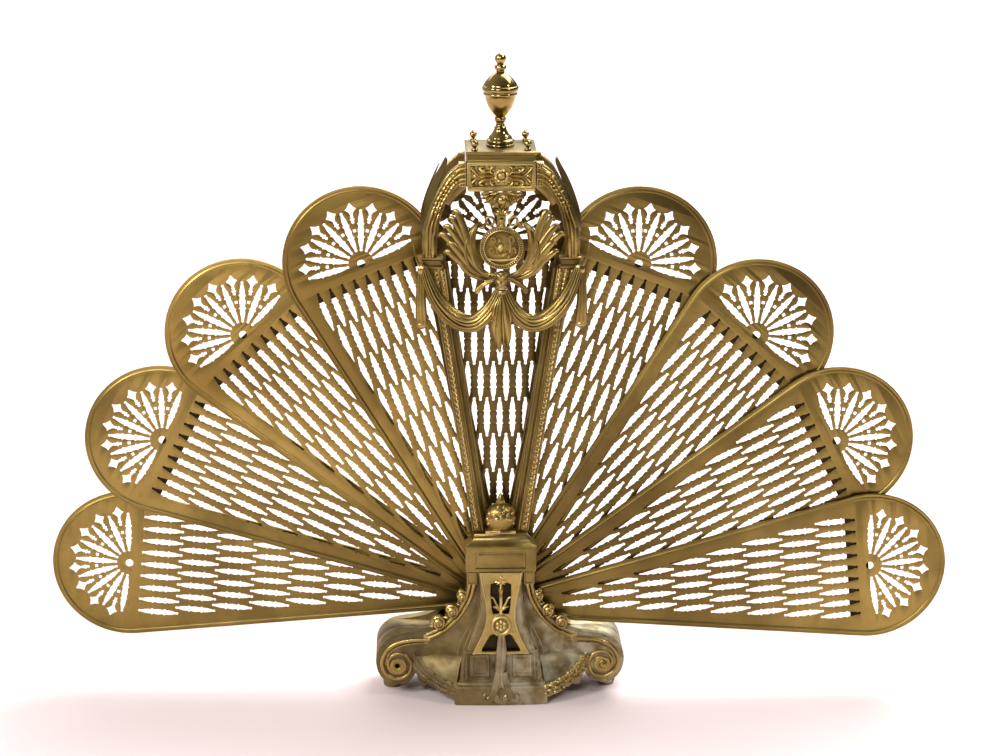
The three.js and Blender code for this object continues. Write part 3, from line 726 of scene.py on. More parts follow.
# ---------- the head ----------
def head_panel_parts(face, rich=True):
    """A box front with a framed relief: a rosette between leafy scrolls."""
    outline = [(-35, 585), (-35, 561), (-33.5, 558.5), (-31, 557), (31, 557), (33.5, 558.5), (35, 561),
               (35, 585)]
    field = [(-31.5, 583), (-31.5, 562.5), (-29.5, 560.2), (29.5, 560.2), (31.5, 562.5), (31.5, 583)]
    parts = [
        plate(outline, [], -face + 2.6, -STACK_FACE - 1.2, 0.3),
        plate(outline, [field], -face, -face + 3.0, 0.5),
        sweep([(x, -face + 0.2, z) for x, z in field], circle(0.8, 8), loop=True),
        stepped([(555.8, 33.0, -STACK_FACE - 1.2, -face - 0.2),
                 (556.6, 34.0, -STACK_FACE - 1.2, -face - 1.2),
                 (558.2, 34.4, -STACK_FACE - 1.2, -face - 1.3),
                 (559.2, 33.6, -STACK_FACE - 1.2, -face - 0.4)]),
    ]
    if not rich:
        return parts
    y = -face + 1.2
    middle = 571.6
    parts.append(lathe([(0, 0), (6.4, 0), (6.2, 1.5), (5.0, 1.9), (4.6, 1.2), (3.9, 1.4), (3.2, 3.0),
                        (1.6, 3.9), (0, 4.1)],
                       28, (0, y, middle), FRONT))
    for k in range(8):
        a = 2 * math.pi * (k + 0.5) / 8
        parts.append(pod((6.3 * math.sin(a), y, middle + 6.0 * math.cos(a)), 5.2, 3.6, 2.3, a))
    scrolls = [
        ([(6, 0), (11, 3.4), (17, 3.8), (21, 6.6), (18.0, 8.4), (15.2, 6.2)], 5.6, 3.9),
        ([(6, 0), (11, -3.4), (17, -3.8), (21, -6.8), (18.0, -8.4), (15.2, -6.0)], 5.6, 3.9),
        ([(10, 2.6), (10.5, 6.2), (8.2, 8.4), (5.6, 7.2)], 4.6, 3.4),
        ([(10, -2.6), (10.5, -6.2), (8.2, -8.4), (5.6, -7.2)], 4.6, 3.4),
        ([(8, 0), (14, 0.2), (20, -0.4), (24.5, 1.2)], 4.6, 3.4),
        ([(21, 0), (25.5, 3.4), (28.4, 7.4), (24.8, 9.0)], 4.8, 3.8),
        ([(21, 0), (25.5, -3.4), (28.4, -7.2), (24.8, -8.8)], 4.8, 3.8),
    ]
    half = []
    for points, width, height in scrolls:
        half.append(frond([(x * 1.06, y, middle + z * 1.12) for x, z in points], width, height, across=9,
                          fat=1.2))
    for x, z, radius in ((18.2, 5.6, 1.9), (18.2, -5.6, 1.9), (26.8, 0.2, 2.2), (8.0, 6.3, 1.3),
                         (8.0, -6.3, 1.3),
                         (13.0, 7.6, 1.3), (13.0, -7.4, 1.3)):
        half.append(pod((x, y, middle + z), radius * 2.2, radius * 2, 2.6))
    return parts + both(half)


def urn_profile():
    return [
        (0, 0), (14.3, 0), (14.6, 0.5), (14.6, 1.6), (14.2, 2.0), (13.2, 2.3), (13.1, 2.9), (14.0, 3.6),
        (14.3, 4.8),
        (13.9, 5.9), (12.6, 6.4), (12.0, 7.2), (12.3, 8.0), (11.8, 9.0), (9.6, 11.0), (8.0, 13.2),
        (6.9, 15.6),
        (6.3, 17.4), (6.4, 18.4), (5.9, 19.2), (4.8, 19.8), (4.4, 21.5), (4.5, 24.0), (5.4, 24.9),
        (5.9, 26.4),
        (5.9, 27.6), (5.4, 28.6), (4.8, 29.2), (5.6, 30.6), (7.6, 32.8), (10.2, 36.0), (12.6, 40.0),
        (14.4, 44.4),
        (15.6, 48.6), (16.2, 51.2), (16.9, 51.7), (17.6, 52.3), (17.6, 53.8), (17.0, 54.4), (17.2, 55.2),
        (18.3, 56.2),
        (18.7, 57.6), (18.7, 59.4), (18.2, 60.6), (17.3, 61.2), (17.2, 62.2), (16.2, 64.0), (14.0, 67.0),
        (10.8, 70.4),
        (8.0, 72.8), (6.0, 74.2), (4.3, 75.0), (4.1, 76.2), (4.5, 77.2), (5.8, 78.0), (6.2, 79.2),
        (6.0, 81.2), (4.6, 82.4),
        (3.4, 83.0), (3.7, 84.0), (5.0, 85.4), (5.75, 87.6), (5.7, 89.6), (4.9, 91.8), (3.2, 93.5),
        (1.5, 94.3), (0, 94.5),
    ]


def add_head():
    make_piece("head_panel_front", head_panel_parts(35), RUBBED_AND_HIGHLIT, nodes=["head_panel_front"])
    rear = mirrored(head_panel_parts(33, rich=False), 1)
    make_piece("head_panel_rear", rear, CAST, nodes=["head_panel_rear"])
    levels = [(584.6, 34.8), (585.4, 35.2), (586.6, 35.3), (587.2, 34.7), (588.0, 34.5), (592.4, 34.6),
              (593.0, 35.2),
              (593.6, 36.0), (595.9, 36.1), (596.4, 35.7), (596.6, 34.9)]
    rings = []
    for z, half in levels:
        corner = 0.8
        rings.append([(half, half - corner, z), (half - corner, half, z), (-half + corner, half, z),
                      (-half, half - corner, z), (-half, -half + corner, z), (-half + corner, -half, z),
                      (half - corner, -half, z), (half, -half + corner, z)])
    rings = [[(x, y * 0.985, z) for x, y, z in ring] for ring in rings]
    make_piece("head_cap", [skin(rings)], FLAT, nodes=["head_cap"])
    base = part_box("urn_finial")[0].z / MM
    urn = [lathe(urn_profile(), 56, (0, 0, base))]
    make_piece("urn_finial", urn, POLISHED, nodes=["urn_finial"], angle=50)
    knob = [(0, 0), (3.3, 0), (3.6, 0.7), (3.4, 1.4), (2.5, 2.0), (1.8, 2.7), (2.2, 3.4), (3.3, 4.4),
            (3.9, 5.8), (3.9, 7.2),
            (3.2, 8.6), (2.1, 9.6), (1.2, 10.2), (1.2, 10.8), (0.7, 11.4), (0, 11.5)]
    for depth, y in (("front", -FINIAL_X), ("rear", FINIAL_X)):
        for side, x in (("left", -FINIAL_X), ("right", FINIAL_X)):
            name = f"corner_finial_{depth}_{side}"
            make_piece(name, [lathe(knob, 24, (x, y, base))], POLISHED, nodes=[name],
                       angle=50)


# ---------- the cartouche ----------
FIGURE = 1.22  # scale of the relief


def figure_parts(y):
    """A plain seated figure of no one in particular, with a staff of leaves: soft rounded relief."""
    def soft(x, z, length, width, height, angle=0.0, proud=0.0):
        at = (x * FIGURE, y - proud, MEDALLION_Z + z * FIGURE)
        return pod(at, length * FIGURE, width * FIGURE, height * 2.1, angle)

    def line(points, radius):
        path = [(x * FIGURE, y - 0.4, MEDALLION_Z + z * FIGURE) for x, z in points]
        return sweep(spline(path, 5), circle(radius, 8))

    head = soft(-1.6, 6.6, 5.2, 4.4, 2.9)
    body = soft(-1.2, 0.4, 9.5, 6.4, 3.0, 0.12)
    legs = [soft(2.4, -5.0, 9.0, 3.8, 2.8, 1.15, 0.4), soft(5.6, -7.2, 6.5, 3.0, 2.4, 0.15, 0.3),
            soft(-1.4, -6.4, 8.4, 3.8, 2.8, 1.9)]
    arms = [soft(2.9, 2.4, 7.5, 2.5, 2.6, 0.95, 0.6), soft(-4.8, 0.6, 7.5, 2.5, 2.4, -0.35, 0.2)]
    staff = line([(6.6, -4), (7.2, 2), (6.4, 8.6)], 0.9)
    ground = line([(-12, -9.2), (-4, -10.4), (4, -10.2), (12, -9)], 1.3)
    parts = [head, body, *legs, *arms, staff, ground]
    for k in range(7):
        a = -0.9 + 0.55 * k
        parts.append(soft(7.6 + 2.6 * math.sin(a), 7.0 + 2.6 * math.cos(a), 3.6, 2.1, 2.1, a))
        parts.append(soft(-8.8 + 2.2 * math.sin(a), -2.6 + 3.0 * math.cos(a), 3.8, 2.1, 2.1, a))
        parts.append(soft(-7.0 + 2.0 * math.sin(a), 6.6 + 2.4 * math.cos(a), 3.4, 1.9, 1.9, a))
        parts.append(soft(10.4 + 1.4 * math.sin(a), -2.4 + 2.6 * math.cos(a), 3.4, 1.9, 1.9, a))
    return parts


def medallion_parts():
    """The round frame with its ring of beads, and the figure in it."""
    rim = [(0, 0), (21.8, 0), (22.5, 1.2), (22.6, 3.0), (21.9, 4.2), (21.3, 4.3), (20.9, 3.4), (19.0, 3.3),
           (18.7, 4.2),
           (18.0, 4.5), (17.3, 3.9), (17.1, 2.6), (10, 2.9), (0, 3.2)]
    parts = [lathe(rim, 64, (0, -41, MEDALLION_Z), FRONT)]
    beads, ring = 52, 19.95
    for k in range(beads):
        a = 2 * math.pi * k / beads
        parts.append(pod((ring * math.sin(a), -44.2, MEDALLION_Z + ring * math.cos(a)), 2.1, 1.7, 1.1, a,
                         rings=5, sides=6))
    return parts + figure_parts(-43.9)


def wreath_parts():
    """Right half: two long smooth leaves round the medallion, with an open ring above them."""
    half = []
    for points, width in (([(5, 468), (20, 474.5), (28.5, 487), (31.2, 502), (29.5, 515), (24, 523.5),
                            (19.5, 524)], 9.6),
                          ([(14, 468), (29, 476.5), (36.5, 491), (36.5, 504), (31.5, 517), (27.5, 522)],
                           6.6)):
        last = len(points) - 1
        path = [(x, -41.2 - 3.0 * math.sin(math.pi * min(k / last * 1.1, 1)), z) for k,
                (x, z) in enumerate(points)]
        half.append(frond(path, width, 3.8, across=13, fat=1.1))
    loop = [(11.8 + 4.3 * math.sin(math.radians(a)), -43.5,
             527 + 4.3 * math.cos(math.radians(a))) for a in range(0, 360, 24)]
    half.append(sweep(loop, circle(1.35, 10), loop=True))
    half.append(frond([(16, -42.5, 524), (20, -44, 521), (24.5, -43.5, 521)], 4.5, 2.4))
    return half


def acanthus_parts():
    """Right half: leaves of several strands that rise together from the knot and part into curled tips."""
    strands = []
    for share in (0, 0.36, 0.7, 1):
        tip = (59 - 14 * share, 513 + 23 * share)
        strands.append(([(3, 465 + share), (16 + 2 * share, 470 + 4 * share),
                         (32 - 3 * share, 485 + 5 * share),
                         (45 - 9 * share, 499 + 14 * share), tip, (tip[0] + 5, tip[1] - 2.5)], 7.4))
    for share in (0, 1):
        tip = (54 - 3 * share, 495 + 9 * share)
        strands.append(([(12, 467), (27, 473 + 2 * share), (41 - 2 * share, 484 + 5 * share), tip,
                         (tip[0] + 4.5, tip[1] - 3)], 6.8))
    strands.append(([(10, 465), (24, 468), (35, 475), (42, 484), (46, 483)], 6.0))
    half = []
    for k, (points, width) in enumerate(strands):
        last = len(points) - 1
        path = []
        for j, (x, z) in enumerate(points):
            lift = 3.4 * math.sin(math.pi * min(j / last * 1.15, 1)) + (1.0 if k % 2 else 0)
            path.append((x, -40.4 - lift, z))
        path[-2] = (path[-2][0], path[-2][1] - 2.0, path[-2][2])
        half.append(sweep(spline(path, 6), circle(width / 2, 12, 0.62),
                          size=lambda t: 0.34 + 0.78 * math.sin(math.pi * t ** 1.3)))
    return half


def pendant_parts():
    """The spray of leaves under the head and the bud that holds the medallion."""
    parts = []
    for angle, length, width in ((0, 17, 7.5), (26, 18, 6.5), (50, 20, 6.0), (70, 21, 5.4), (84, 20, 4.6)):
        a = math.radians(angle)
        spine = []
        for k in range(5):
            t = k / 4
            spine.append((3 + length * t * math.sin(a) * 1.02, -40.5 - 3.4 * math.sin(math.pi * t * 0.8),
                          555.4 - length * t * math.cos(a) * (1 - 0.2 * t)))
        blade = frond(spine, width, 2.6, ribs=2, lobes=2, across=11)
        parts += [blade] + mirrored([blade])
    parts.append(lathe([(0, 0), (5.4, 0), (5.6, 1.4), (4.8, 2.2), (4.4, 3.4), (2.4, 5.2), (0, 5.6)], 28,
                       (0, -43, 548.6), FRONT))
    parts.append(plate([(-21, 556), (-15, 546), (-5, 539), (-4, 520), (4, 520), (5, 539), (15, 546),
                        (21, 556)], [],
                       -42, -39, 0.6))
    for k, angle in enumerate((-64, -36, -12, 12, 36, 64)):
        a = math.radians(angle)
        parts.append(pod((6.6 * math.sin(a), -43.5, 533 + 4.2 * math.cos(a)), 10.5, 4.0, 3.6, a))
    for z, r in ((526.5, 3.1), (522.4, 2.6)):
        parts.append(lathe([(0, 0), (r, 0.4), (r * 0.9, 1.8), (r * 0.5, 3.0), (0, 3.3)], 20, (0, -42.5, z),
                           FRONT))
    return parts


def add_cartouche():
    parts = pendant_parts() + both(wreath_parts()) + both(acanthus_parts())
    make_piece("cartouche", parts, CAST, nodes=["cartouche"])
    make_piece("medallion", medallion_parts(), RUBBED_AND_HIGHLIT)


# ---------- the garland ----------
def folds(path, width, height, ridges, girth, drift):
    """Cloth or leaves gathered along a path: parallel ridges, narrower where the bundle is tied."""
    path = [Vector(p) for p in path]
    last = len(path) - 1
    across = ridges * 6 + 1
    rings = []
    for k, point in enumerate(path):
        t = k / last
        along = (path[min(k + 1, last)] - path[max(k - 1, 0)]).normalized()
        side = along.cross(Vector(FRONT)).normalized()
        lift = side.cross(along)
        half = width / 2 * girth(t)
        ring = []
        for i in range(across):
            u = 2 * i / (across - 1) - 1
            sway = drift * math.sin(math.pi * t) * (1 - u * u)
            wave = abs(math.sin(math.pi * ridges * (u + 1) / 2 + sway))
            rise = math.sqrt(max(1 - u * u, 0)) * 0.72 + 0.28 * wave * (1 - u ** 4)
            ring.append(point + side * u * half + lift * rise * height * (0.55 + 0.45 * girth(t)))
        ring.append(point + side * half * 0.8 - lift * 1.6)
        ring.append(point - side * half * 0.8 - lift * 1.6)
        rings.append(ring)
    return skin(rings)


def swag_girth(t):
    return 0.42 + 0.58 * math.sin(math.pi * t) ** 0.75


def garland_parts():
    """Right half: the swag, the tail that hangs beside the capital, and one end of the bow."""
    swag = spline([(79, -44, 478), (72.5, -44.5, 459), (63, -45, 441), (51, -45.5, 428), (38.5, -46, 421),
                   (27, -46.5, 421.5),
                   (16.5, -46.5, 430), (8.5, -46.5, 442), (3, -46, 455)], 5)
    half = [folds(swag, 19.5, 5.2, 5, swag_girth, drift=0.5)]
    inner = spline([(79, -46, 474), (67, -49, 447), (52, -50, 430.5), (34, -50.5, 423.5), (20, -50, 430),
                    (8, -48.5, 446)], 5)
    half.append(sweep(inner, circle(1.3, 8), size=lambda t: 0.6 + 0.5 * math.sin(math.pi * t)))

    def tail_girth(t):
        return 0.45 + 0.55 * t ** 0.7 if t < 0.86 else 1.0 - 0.75 * ((t - 0.86) / 0.14) ** 2

    tail = spline([(82, -42, 478), (82.5, -43, 460), (82.5, -43.2, 440), (82, -42.5, 424),
                   (81.8, -41.5, 417)], 7)
    half.append(folds(tail, 14.0, 4.2, 3, tail_girth, drift=0.3))
    half.append(pod((81.8, -42.5, 418.5), 10, 11, 4.2))

    def bow_girth(t):
        return 0.55 + 0.45 * t if t < 0.85 else 1.0 - 0.5 * (t - 0.85) / 0.15

    bow = spline([(2, -45, 468), (9, -47.5, 466.5), (17, -46.5, 462.5), (23.5, -45, 456.5),
                  (25.5, -46.5, 452.5)], 5)
    half.append(folds(bow, 6.4, 2.4, 2, bow_girth, drift=0))
    # the clasp where swag and tail meet
    half.append(lathe([(0, 0), (5.4, 0.2), (5.2, 2.2), (3.2, 3.6), (0, 4.0)], 22, (80, -43, 476.5), FRONT))
    end = spline([(79, -43, 477), (84, -43.5, 482), (87.5, -42.5, 491), (90, -41, 503)], 5)
    half.append(sweep(end, circle(1.9, 8, 0.6), size=lambda t: 1.15 - 0.9 * t))
    return half


def knot_parts():
    """The knot with its crossed wrappings, and the tassel below it."""
    parts = [lathe([(0, 0), (5.0, 1.5), (5.8, 6), (5.4, 11), (6.0, 15), (4.8, 19), (0, 21)], 24,
                   (0, -45, 455))]
    for side in (-1, 1):
        for low, high in ((458, 467), (463.5, 473.5)):
            cross = [(-6.6 * side, -46, low), (-3 * side, -50.5, low + 2), (2.5 * side, -51.5, high - 2.5),
                     (6.6 * side, -46.5, high)]
            parts.append(sweep(spline(cross, 5), circle(1.5, 9, 0.8)))
    parts.append(lathe([(0, 0), (4.8, 0.3), (5.4, 1.4), (5.4, 2.6), (4.8, 3.6), (0, 4)], 24,
                       (0, -46.5, 452)))
    petals = [((0, 0), (-2.6, -21), (-3.4, -46), (-1.4, -64.5), 8.0),
              ((0, 0), (3.4, -18), (6.2, -40), (6.6, -57), 8.4),
              ((0, 0), (-4.8, -16), (-7.6, -36), (-6.4, -52), 7.0),
              ((0, 0), (1.0, -20), (1.6, -42), (2.4, -60), 6.4),
              ((0, 0), (6.2, -14), (9.0, -26), (8.0, -38), 5.4),
              ((0, 0), (-6.4, -12), (-8.8, -22), (-8.4, -32), 5.0)]
    for k, (*points, width) in enumerate(petals):
        spine = [(x, -47.5 - (0.9 if k < 2 else -0.4) - 2.4 * math.sin(math.pi * j / 3.2), 453.5 + z)
                 for j, (x, z) in enumerate(points)]
        parts.append(frond(spine, width, 3.2, across=11, fat=1.5, steps=8))
    return parts


def add_garland():
    make_piece("garland", both(garland_parts()) + knot_parts(), CAST, nodes=["garland"])


# ---------- the collar ----------
def collar_parts():
    """Moulded box that clasps the leaves above the pivot."""
    def level(z, x, face):
        return (z, x, -STACK_FACE, -face)

    parts = [
        stepped([level(147, 36.8, 42.2), level(147.5, 37.4, 42.7), level(174.0, 37.4, 42.7),
                 level(174.2, 37.4, 42.7)]),
        stepped([level(173.2, 37.5, 43.9), level(174.4, 38.0, 43.9), level(175.2, 37.6, 43.2),
                 level(176.4, 35.0, 41.4),
                 level(178.2, 32.2, 39.4), level(180.6, 30.0, 37.8), level(183.4, 28.6, 36.8),
                 level(186.4, 28.0, 36.4),
                 level(187.0, 27.6, 36.0)], 0.8),
    ]
    outline = [(-37.5, 147), (37.5, 147), (37.5, 174), (-37.5, 174)]
    window = [(-26.5, 150.2), (26.5, 150.2), (26.5, 169), (-26.5, 169)]
    parts.append(plate(outline, [window], -44, -42.4, 0.3))
    parts.append(sweep([(x, -43.7, z) for x, z in window], circle(0.7, 8), loop=True))
    parts.append(block(-24.3, 24.3, -43.4, -42.4, 152.2, 167, 0.5))
    return parts


def rosette_parts():
    """Dome with a carved upper half, a leaf rising behind it."""
    at = (0, -29.5, 203.5)
    dome = [(0, 0), (16.8, 0), (17.1, 1.4), (16.8, 3.0), (16.0, 5.4), (14.4, 8.2), (12.0, 10.6),
            (8.6, 12.6), (4.6, 13.8), (0, 14.2)]
    parts = [lathe(dome, 44, at, FRONT)]
    for ring, count, size in ((5.2, 6, 6.5), (10.0, 11, 6.6), (14.2, 15, 5.4)):
        for k in range(count):
            a = 2 * math.pi * (k + 0.5 * (ring > 8)) / count
            if math.cos(a) < -0.35:
                continue
            depth = 14.2 * math.sqrt(max(1 - (ring / 17.3) ** 2, 0))
            place = (ring * math.sin(a), at[1] - depth, at[2] + ring * math.cos(a))
            out = Vector((ring * math.sin(a) * 0.075, -1, ring * math.cos(a) * 0.075))
            parts.append(pod(place, size, size * 0.62, 1.7, a, out))
    parts.append(frond([(0, -31.5, 216), (0, -33.5, 223), (0, -31.5, 231.5)], 9, 2.6, fat=0.9))
    for side in (-1, 1):
        parts.append(sweep(spline([(15 * side, -31, 189.5), (9 * side, -38, 190.5), (0, -41, 190.8)], 6),
                           circle(1.7, 8)))
    parts.append(sweep([(-16, -34, 189.2), (16, -34, 189.2)], [(-1.6, -4), (1.6, -4), (1.6, 4), (-1.6, 4)]))
    return parts


def add_collar():
    make_piece("collar_front", collar_parts(), FLAT, nodes=["collar_front"])
    make_piece("collar_rear", mirrored(collar_parts(), 1), FLAT, nodes=["collar_rear"])
    make_piece("collar_rosette", rosette_parts(), CAST, nodes=["collar_rosette"])


# ---------- the base ----------
def bezier(a, b, c, d, steps):
    """Points along a cubic curve, without its first one."""
    result = []
    for i in range(1, steps + 1):
        t = i / steps
        s = 1 - t
        result.append(tuple(s ** 3 * p + 3 * s * s * t * q + 3 * s * t * t * r + t ** 3 * w
                            for p, q, r, w in zip(a, b, c, d)))
    return result


WALL = 4
CUTTER_FRONT = -75
CUTTER_EDGE = 0.01
# level sections of the plinth: z, how far its edges are drawn in
PLINTH_LEVELS = [(0, 1.4), (1.2, 0.3), (2.2, 0), (20.5, 0), (21.2, 0.5), (21.8, 1.6), (23.6, 1.9),
                 (25.2, 3.0),
                 (26.2, 4.6), (28.2, 5.2)]
CONSOLE_TOP = [(35, 131), (39.4, 113), (49.6, 95.5), (63.6, 81.8), (80, 73.4), (104, 69.0)]
VOLUTE = (111, 35)


def console_volute():
    """The outer edge of the console, round the volute and back under it."""
    points = bezier((104, 69), (122, 67.5), (134, 56), (134, 41), 16)
    points += bezier((134, 41), (134, 24), (124, 13), (111, 13), 14)
    points += bezier((111, 13), (98, 13), (91, 22), (90, 34), 12)
    return points + bezier((90, 34), (78, 36.7), (63, 30), (50, 18), 10)


def console_top_line(steps=7):
    """The upper edge of the console, from the collar out to the volute."""
    return [(p.x, p.z) for p in spline([(x, 0, z) for x, z in CONSOLE_TOP], steps)]


def carved(parts, cutters):
    """Solids with other solids cut out of them."""
    objects = []
    for name, group in (("solid", parts), ("cutter", cutters)):
        item = bpy.data.objects.new(name, make_mesh(name, group, 180))
        link(item)
        objects.append(item)
    solid, cutter = objects
    tool = solid.modifiers.new("cut", "BOOLEAN")
    tool.operation = "DIFFERENCE"
    tool.solver = "EXACT"
    tool.use_self = True
    tool.object = cutter
    bpy.context.view_layer.update()
    mesh = bpy.data.meshes.new_from_object(solid.evaluated_get(bpy.context.evaluated_depsgraph_get()))
    verts = [tuple(c / MM for c in v.co) for v in mesh.vertices]
    faces = [tuple(p.vertices) for p in mesh.polygons]
    for item in objects:
        bpy.data.objects.remove(item)
    bpy.data.meshes.remove(mesh)
    return verts, faces


# level sections of the pedestal: z, half width of its face, half width where it meets the consoles
PEDESTAL = [(8, 42, 90), (24, 40, 93), (57, 32, 82), (80, 26, 62), (104, 19.5, 44), (131, 20, 34),
            (BASE_TOP, 23, 35.5)]


PEDESTAL_TOP = 147
PEDESTAL_TOP_FACE = 41.2
PANEL_TOP_FACE = 41.5
PEDESTAL_LEAN = 0.118  # how far its face comes forward for each step down
FLANK_SHOULDER = 0.06  # shares of the way from the face's edge to the console
FLANK_PULL = 0.14
FLANK_HOLLOW = 0.12


def pedestal_face(z):
    return PEDESTAL_TOP_FACE + (PEDESTAL_TOP - z) * PEDESTAL_LEAN


def flank_line(near, far, front, side, z, steps):
    """A level line round the hollow flank, from the edge of the face to the console."""
    spread = far - near
    shoulder = (near + FLANK_SHOULDER * spread + 1.0, front + 1.6, z)
    bend = ((near + far) / 2 - FLANK_PULL * spread, (front + side) / 2 + FLANK_HOLLOW * spread + 1.5, z)
    return spline([(near, front, z), shoulder, bend, (far, side, z)], steps)


def pedestal_solid(inset, back):
    """The body of the pedestal, drawn in by inset, closed at the back."""
    rings = []
    levels = spline(PEDESTAL, 5)
    for k, (z, face, wide) in enumerate(levels):
        front = -(pedestal_face(z) - inset)
        side = -(CONSOLE_FACE - inset)
        flank = [(p.x, p.y) for p in flank_line(face - inset, wide - inset, front, side, 0, 4)]
        half = flank + [(wide - inset, back)]
        level = min(max(z, PEDESTAL[0][0] + inset), BASE_TOP - inset) if k in (0, len(levels) - 1) else z
        rings.append([(-x, y, level) for x, y in reversed(half)] + [(x, y, level) for x, y in half])
    return skin(rings)


def plinth_ring(z, by):
    front = [(49.6, -58.8), (38, -59.6), (26, -60.2), (13, -60.6), (0, -60.8)]
    half = [(50 - by, -STACK_FACE), (50 - by, -58.0 + by)] + [(x - by * x / 50, y + by) for x, y in front]
    return [(x, y, z) for x, y in half] + [(-x, y, z) for x, y in reversed(half[:-1])]


def console_parts():
    """Right console: a cheek with the volute, and the lower body back to the seam."""
    cheek = [(0, BASE_TOP), (35, BASE_TOP)] + console_top_line() + console_volute() + [(0, 18)]
    lower = [(46.3, 68.2),
             (107, 68.2)] + [p for p in console_volute() if p[0] > 107.5 or p[1] < 50] + [(46.3, 18)]
    hole = [(VOLUTE[0] + x, VOLUTE[1] + z) for x, z in circle(2.5, 20)]
    return [plate(cheek, [hole], -CONSOLE_FACE, -STACK_FACE, 0.7),
            plate(lower, [], -STACK_FACE - 0.1, -0.15, 0.5)]


def console_mouldings():
    """Two reeds down the face of the right console, then one that rolls into the volute."""
    line = [(35.6, 146)] + console_top_line(6)
    parts = []
    for inward, radius in ((2.4, 1.9), (6.9, 2.3)):
        path = []
        for k, (x, z) in enumerate(line[1:]):
            a, b = line[k], line[min(k + 2, len(line) - 1)]
            along = Vector((b[0] - a[0], b[1] - a[1])).normalized()
            px, pz = x + along.y * inward, z - along.x * inward
            if px < 80:
                path.append((px, -CONSOLE_FACE - 0.4 - max(0, (pz - 100) * 0.11), pz))
        parts.append(sweep(path, circle(radius, 10)))
    path = [(76, 64.6), (83, 64.8), (94, 64.6), (106, 62.8), (117.5, 57.4), (125.2, 48.0), (127.6, 37.0),
            (123.8, 26.4),
            (115, 20.8), (105, 21.2), (97.8, 28), (96.4, 38), (101, 46.2), (110, 49.2), (118.2, 45),
            (121.2, 36.6),
            (117.6, 28.6), (110.6, 26.2), (104, 29.4), (102.4, 36), (105.6, 41.4), (111, 42.6)]
    turn = spline([(x, -CONSOLE_FACE - 0.3, z) for x, z in path], 5)
    parts.append(sweep(turn, circle(1.5, 10), size=lambda t: 1.75 - 0.75 * t))
    parts.append(sweep(spline([(x - 1.5, -CONSOLE_FACE - 0.2, z - 4.2) for x,
                               z in path[:5]] + [(121.4, -31.2, 46), (123, -31.2, 37)], 5),
                       circle(0.9, 8)))
    parts.append(block(77.0, 82.5, -CONSOLE_FACE - 1.5, -CONSOLE_FACE + 1, 60.6, 71.5, 0.8))
    eye = [(2.6, -2), (8.0, -1), (8.4, 1.0), (7.8, 2.0), (6.2, 2.4), (4.0, 2.2), (2.9, 1.6), (2.6, 1.0)]
    axis = Vector((VOLUTE[0], -CONSOLE_FACE + 0.2, VOLUTE[1]))
    rings = []
    for k in range(36):
        a = 2 * math.pi * k / 36
        rings.append([axis + Vector((r * math.sin(a), -h, r * math.cos(a))) for r, h in eye])
    parts.append(skin(rings, loop=True))
    return parts


def bud(at, size, lean):
    """A rose on the edge of a console: a dome with petals wound round it."""
    parts = [pod(at, size * 1.3, size * 1.02, size * 0.6, lean, rings=9, sides=12)]
    turn = []
    for k in range(22):
        a = lean + 0.62 * k
        r = size * (0.05 + 0.0195 * k)
        rise = size * 0.62 * math.sqrt(1 - (r / (0.54 * size)) ** 2)
        turn.append((at[0] + r * math.sin(a), at[1] - rise, at[2] + 1.15 * r * math.cos(a)))
    parts.append(sweep(turn, circle(size * 0.085, 7)))
    return parts


def bud_parts():
    """Three roses down the edge of the right console, with small leaves between them."""
    parts = []
    for (x, z), size, lean in (((40.6, 114.5), 13.0, 0.2), ((51.4, 97.5), 15.0, 0.7),
                               ((66.0, 84.6), 15.6, 1.2)):
        parts += bud((x, -27.5, z), size, lean)
    for (x, z), angle in (((44, 104), 0.7), ((57, 89.6), 1.0), ((72.5, 80.6), 1.35)):
        for side in (-1, 1):
            parts.append(pod((x, -28 - side * 1.5, z), 9, 4, 2.2, angle + side * 0.4))
    return parts


def on_face(points, proud):
    """Points (x, z) laid on the sloping face of the pedestal."""
    return [(x, -pedestal_face(z) - proud, z) for x, z in points]


def plinth_details():
    """Right half: the framed panel over the plinth, the rounded pilaster beside it, and its cap moulding."""
    parts = []
    panel = [(12, 32), (33, 32), (33, 56), (12, 56)]
    parts.append(skin([on_face(panel, -1), on_face(panel, 1.6),
                       on_face([(13, 33), (32, 33), (32, 55), (13, 55)], 2.4)]))
    frame_line = [(15.5, 36), (29.5, 36), (29.5, 52.5), (15.5, 52.5)]
    parts.append(sweep(on_face(frame_line, 2.4), circle(0.9, 8), loop=True))
    for x, lean in ((37.0, -0.8), (41.2, -3.4)):
        parts.append(sweep(spline([(x, -pedestal_face(30) + 1.2, 29),
                                   (x + lean * 0.3, -pedestal_face(45) + 1.4, 44),
                                   (x + lean, -pedestal_face(60) + 2.2, 60)], 5), circle(2.6, 12)))
    parts.append(sweep(on_face([(10.5, 58.4), (37, 58.4)], 0.6), circle(1.3, 8)))
    return parts


def skirt_point(t, z):
    """A point on the right flank's skirt, t from the plinth to the volute."""
    level = min(spline(PEDESTAL, 5), key=lambda p: abs(p[0] - z))
    line = flank_line(level[1], level[2], -pedestal_face(z), -CONSOLE_FACE, z, 8)
    return line[min(int(t * (len(line) - 1) + 0.5), len(line) - 1)]


